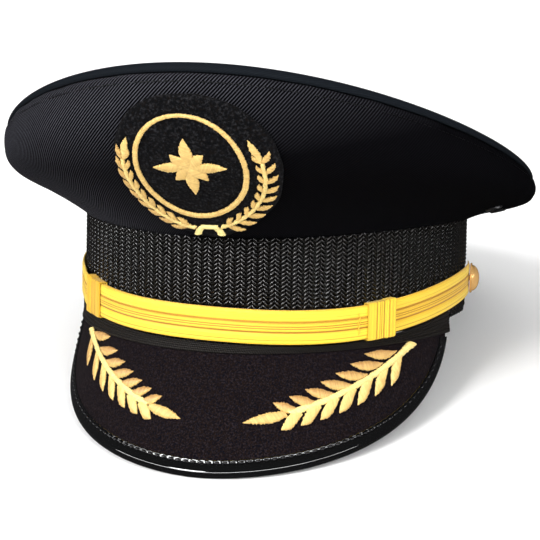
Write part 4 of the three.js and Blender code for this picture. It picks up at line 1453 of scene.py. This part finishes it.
class MakeBadge(bpy.types.Operator):
    """Make the badge: its felt ground with loose fibres, ring, star, wreath and bow"""

    bl_idname = "cap.make_badge"
    bl_label = "Badge"

    def execute(self, context):
        settings = context.scene.cap_gold
        self.ground(context.scene.cap_badge)
        material = gold_thread(settings)
        draw = np.random.default_rng(7)
        self.ring(settings, material, draw)
        self.star(settings, material, draw)
        self.wreath(settings, material, draw)
        self.bow(settings, material, draw)
        return {"FINISHED"}

    def ground(self, settings):
        """A thick oval of felt with a rounded, slightly wandering edge."""
        face = PATCH.air + PATCH.wall
        around = np.linspace(0, 2 * math.pi, 181)[:-1]
        wander = 1 + 0.006 * np.sin(7 * around + 1) + 0.004 * np.sin(13 * around)
        rows = [(r, face) for r in np.linspace(0.03, 0.9, 20)]
        rows += [(0.9 + 0.1 * math.sin(t), face - PATCH.round * (1 - math.cos(t)))
                 for t in np.linspace(0.2, math.pi / 2, 7)]
        rows += [(1.0, PATCH.air + 0.5), *((r, PATCH.air) for r in (0.985, 0.75, 0.5, 0.25, 0.05))]
        points = []
        for r, h in rows:
            on_face = h > PATCH.air + 0.6
            lumpy = 0.16 * np.sin(5 * around + 9 * r) * np.sin(3 * around - 14 * r) * on_face
            points.append(on_badge(PATCH.x + PATCH.half_width * (r * wander) * np.sin(around),
                                   PATCH.y - PATCH.half_height * (r * wander) * np.cos(around), h + lumpy))
        shape = Shape()
        shape.grid(np.stack(points), columns_meet=True, capped=True)
        self.fibres(shape, settings, face)
        fleck = shade_of(settings.ground_color, 7.0)
        material = felt("badge_felt", settings.ground_color, fleck, size=1.5, tint=0.3)
        shape.object("badge_patch_felt", material, "badge_felt", ["badge_patch"])

    def fibres(self, shape, settings, face):
        """Loose fibres as thin bent spikes that lie over the felt at all angles."""
        draw = np.random.default_rng(3)
        count = settings.fibres
        r = np.sqrt(draw.uniform(0, 1, count))
        a = draw.uniform(0, 2 * math.pi, count)
        length = settings.fibre_length / MM * draw.uniform(0.4, 1.0, count)
        heading = draw.uniform(0, 2 * math.pi, count)
        rise = draw.uniform(0.12, 0.75, count)
        thick, buried = 0.045, 0.12
        root_h = face - buried - PATCH.round * smooth(r, 0.9, 1.0)
        x, y = r * np.sin(a) * PATCH.half_width, r * np.cos(a) * PATCH.half_height
        flat, steep = length * np.cos(rise), length * np.sin(rise)
        corners = []
        for t, climb in ((0.0, 0.0), (0.55, 0.75)):
            for turn in (0.0, 2 * math.pi / 3, 4 * math.pi / 3):
                wide, tall = (thick * part * (1 - 0.4 * t) for part in (math.cos(turn), math.sin(turn)))
                corners.append((x + np.cos(heading) * flat * t - np.sin(heading) * wide,
                                y + np.sin(heading) * flat * t + np.cos(heading) * wide,
                                root_h + steep * climb + tall))
        corners.append((x + np.cos(heading) * flat, y + np.sin(heading) * flat, root_h + steep))
        x, y, h = np.stack(corners, -1)
        points = on_badge(PATCH.x + x, PATCH.y - y, h)
        quads = np.array([[0, 1, 4, 3], [1, 2, 5, 4], [2, 0, 3, 5]])
        tris = np.array([[3, 4, 6], [4, 5, 6], [5, 3, 6], [2, 1, 0]])
        offset = (np.arange(count) * 7)[:, None, None]
        shape.add(points, [(quads + offset).reshape(-1, 4), (tris + offset).reshape(-1, 3)])

    def ring(self, settings, material, draw):
        """Satin stitching laid across a closed oval."""
        a = np.linspace(0, 2 * math.pi, 241)
        spine = np.stack([RING.half_width * np.sin(a), -RING.half_height * np.cos(a)], 1)
        sewn = Stitching(on_badge, BADGE_FACE, RING.height, settings, draw)
        sewn.satin(spine, lambda t: np.full(len(t), RING.width / 2), slant=0.0, stray=0.6)
        sewn.object("badge_ring_stitching", material, "gold_thread", ["badge_ring"])

    def star(self, settings, material, draw):
        """Leaves out of one middle, each a little above the last."""
        sewn = Stitching(on_badge, BADGE_FACE, STAR.height, settings, draw)
        for k in range(STAR.points):
            length = STAR.short if k % 2 else STAR.long
            spine = leaf_spine((0.0, 0.0), k * 2 * math.pi / STAR.points, length)
            sewn.satin(spine, leaf_half(STAR.width, 0.1), slant=24.0, lift=0.02 * k)
        sewn.object("badge_star_stitching", material, "gold_thread", ["badge_star"])

    def wreath(self, settings, material, draw):
        last = math.radians(WREATH.end)
        sides = zip((-1, 1), WREATH.starts, ("badge_wreath_left", "badge_wreath_right"))
        for side, start, name in sides:
            first = math.radians(start)

            def at(a, side=side):
                return pair(WREATH.x + side * WREATH.half_width * np.sin(a),
                            WREATH.y - WREATH.half_height * np.cos(a))

            def heading(a, lean, side=side):
                return side * math.radians(lean) + math.atan2(
                    WREATH.half_height * math.sin(a), side * WREATH.half_width * math.cos(a))

            sewn = Stitching(on_badge, BADGE_FACE, WREATH.height, settings, draw)
            for a in np.linspace(first + math.radians(5), last - math.radians(1), WREATH.pairs):
                for leaf in (row for row in WREATH_ROWS if row.side == side):
                    bent = side * leaf.row
                    spine = leaf_spine(at(a), heading(a, leaf.row * leaf.spread), leaf.length, 0.05 * bent)
                    sewn.satin(spine, leaf_half(WREATH.leaf_width), slant=26.0 * bent, shade=leaf.shade)
            spine = leaf_spine(at(last), heading(last, WREATH.tip_lean), WREATH.tip_length)
            sewn.satin(spine, leaf_half(WREATH.tip_width), shade=0.6)
            sewn.satin(at(np.linspace(first, last, 41)), lambda t: np.full(len(t), WREATH.stem_width / 2),
                       slant=35.0, shade=0.7, fuller=1.1)
            sewn.object(name + "_stitching", material, "gold_thread", [name])

    def bow(self, settings, material, draw):
        """The bar and the two splayed ends of the bow."""
        sewn = Stitching(on_badge, BADGE_FACE, BOW.thickness, settings, draw)
        half, knot, thick = BOW.width / 2, BOW.bar / 2, BOW.leg / 2
        bar_half = 0.95
        bar = [(BOW.x + reach, BOW.y - bar_half) for reach in (-knot, knot)]
        sewn.satin(bar, lambda t: np.full(len(t), bar_half), shade=1.0, stray=0.3)
        for side in (-1, 1):
            leg = [(BOW.x + side * reach, BOW.y - down) for reach, down in (
                (knot - 1.2, 0.9), (half - thick - 0.5, BOW.height * 0.62), (half - thick, BOW.height))]
            sewn.satin(leg, lambda t: 1.0 + (thick + 0.25 - 1.0) * t, slant=20.0 * side, shade=1.0, stray=0.3)
        sewn.object("badge_bow_stitching", material, "gold_thread", ["badge_bow"])


class MakeStage(bpy.types.Operator):
    """Make the floor, the lights, the backdrop and the camera"""

    bl_idname = "cap.make_stage"
    bl_label = "Stage"

    def execute(self, context):
        settings = context.scene.cap_stage
        self.floor(settings)
        self.surround(context.scene, settings)
        self.camera(context.scene)
        self.lamp("key", settings.key, (-31, 42), spread=20, gleams=True)
        self.lamp("fill", settings.fill, (55, 30), spread=60)
        self.lamp("top", settings.top, (-60, 78), spread=80)
        return {"FINISHED"}

    def floor(self, settings):
        """A white floor that the glossy black pieces don't mirror, so that they stay dark."""
        half = 3.0
        mesh = bpy.data.meshes.new("floor")
        corners = [(-half, -half, 0), (half, -half, 0), (half, half, 0), (-half, half, 0)]
        mesh.from_pydata(corners, [], [(0, 1, 2, 3)])
        plane = bpy.data.objects.new("floor", mesh)
        bpy.context.scene.collection.objects.link(plane)
        finish = Finish("floor", settings.floor_color, 0.7, Specular_IOR_Level=0.2)
        mesh.materials.append(finish.material)
        plane.visible_glossy = False

    def surround(self, scene, settings):
        """A faint white backdrop with a bright strip in front, which gives glossy pieces their gleam."""
        strip_height, strip_half, strip_from = 0.45, 0.042, -0.15
        world = bpy.data.worlds.new("surround")
        world.use_nodes = True
        background = world.node_tree.nodes["Background"]
        background.inputs["Color"].default_value = (1, 1, 1, 1)
        sky = Nodes(world.node_tree)
        place = sky.node("ShaderNodeTexCoord").outputs["Generated"]
        way = sky.node("ShaderNodeSeparateXYZ", {"Vector": place})
        strip = sky.times(sky.math("COMPARE", way.outputs["Z"], strip_height, strip_half),
                          sky.math("LESS_THAN", way.outputs["Y"], strip_from))
        sky.feed(background.inputs["Strength"], sky.linear(strip, settings.strip, settings.surround))
        scene.world = world
        scene.view_settings.view_transform = "Standard"

    def lamp(self, name, strength, place, spread, gleams=False):
        """A wide soft light from an [azimuth, elevation] in degrees, seen from the front of the cap.

        gleams says whether glossy pieces mirror it."""
        back = Vector(seen_from(*(math.radians(angle) for angle in place)))
        data = bpy.data.lights.new(name, "SUN")
        data.energy = strength
        data.angle = math.radians(spread)
        lamp = bpy.data.objects.new(name, data)
        lamp.location = back * 2
        lamp.visible_glossy = gleams
        lamp.rotation_mode = "QUATERNION"
        lamp.rotation_quaternion = back.to_track_quat("Z", "Y")
        bpy.context.scene.collection.objects.link(lamp)

    def camera(self, scene):
        """Stands the camera where it saw the upright cap, then lays it down with the cap."""
        azimuth, elevation, roll = (math.radians(a) for a in (CAMERA.azimuth, CAMERA.elevation, CAMERA.roll))
        ahead = -seen_from(azimuth, elevation)
        right = unit(np.cross(ahead, UP))
        down = np.cross(ahead, right)
        across = math.cos(roll) * right + math.sin(roll) * down
        below = -math.sin(roll) * right + math.cos(roll) * down
        place = (np.array([0.0, 0.0, CAMERA.height]) - CAMERA.across * across - CAMERA.down * below
                 - CAMERA.distance * ahead)
        axes = np.stack([across, -below, -ahead], 1)
        data = bpy.data.cameras.new("camera")
        data.sensor_width = CAMERA.sensor
        data.lens = CAMERA.focal / CAMERA.image * CAMERA.sensor
        data.clip_start, data.clip_end = 0.01, 20.0
        camera = bpy.data.objects.new("camera", data)
        stand = Matrix((TILT @ axes).tolist()).to_4x4()
        stand.translation = lie(place[None])[0].tolist()
        camera.matrix_world = stand
        scene.collection.objects.link(camera)
        scene.camera = camera


MAKERS = (
    MakeStage, MakeCrown, MakeEyelets, MakeBand, MakePeak, MakeRim, MakeTrim, MakeStraps, MakeKeepers,
    MakeButtons, MakeBranches, MakeBadge,
)
SETTINGS = {
    "cap_cloth": ClothSettings, "cap_webbing": WebbingSettings, "cap_peak": PeakSettings,
    "cap_gold": GoldSettings, "cap_badge": BadgeSettings, "cap_stage": StageSettings,
}


class CapPanel(bpy.types.Panel):
    """The cap's makers and their sizes and colours"""

    bl_idname = "VIEW3D_PT_cap"
    bl_label = "Peaked Uniform Cap"
    bl_space_type = "VIEW_3D"
    bl_region_type = "UI"
    bl_category = "Cap"

    def draw(self, context):
        layout = self.layout
        for name, group in SETTINGS.items():
            box = layout.box()
            box.label(text=group.__doc__)
            for setting in group.__annotations__:
                box.prop(getattr(context.scene, name), setting)
        for maker in MAKERS:
            layout.operator(maker.bl_idname)


CLASSES = (*SETTINGS.values(), *MAKERS, CapPanel)


def register():
    for made in CLASSES:
        bpy.utils.register_class(made)
    for name, group in SETTINGS.items():
        setattr(bpy.types.Scene, name, PointerProperty(type=group))


def unregister():
    for name in SETTINGS:
        delattr(bpy.types.Scene, name)
    for made in reversed(CLASSES):
        bpy.utils.unregister_class(made)


def main():
    register()
    for maker in MAKERS:
        group, call = maker.bl_idname.split(".")
        if getattr(getattr(bpy.ops, group), call)() != {"FINISHED"}:
            raise RuntimeError(maker.bl_label + " wasn't made")


if __name__ == "__main__":
    main()
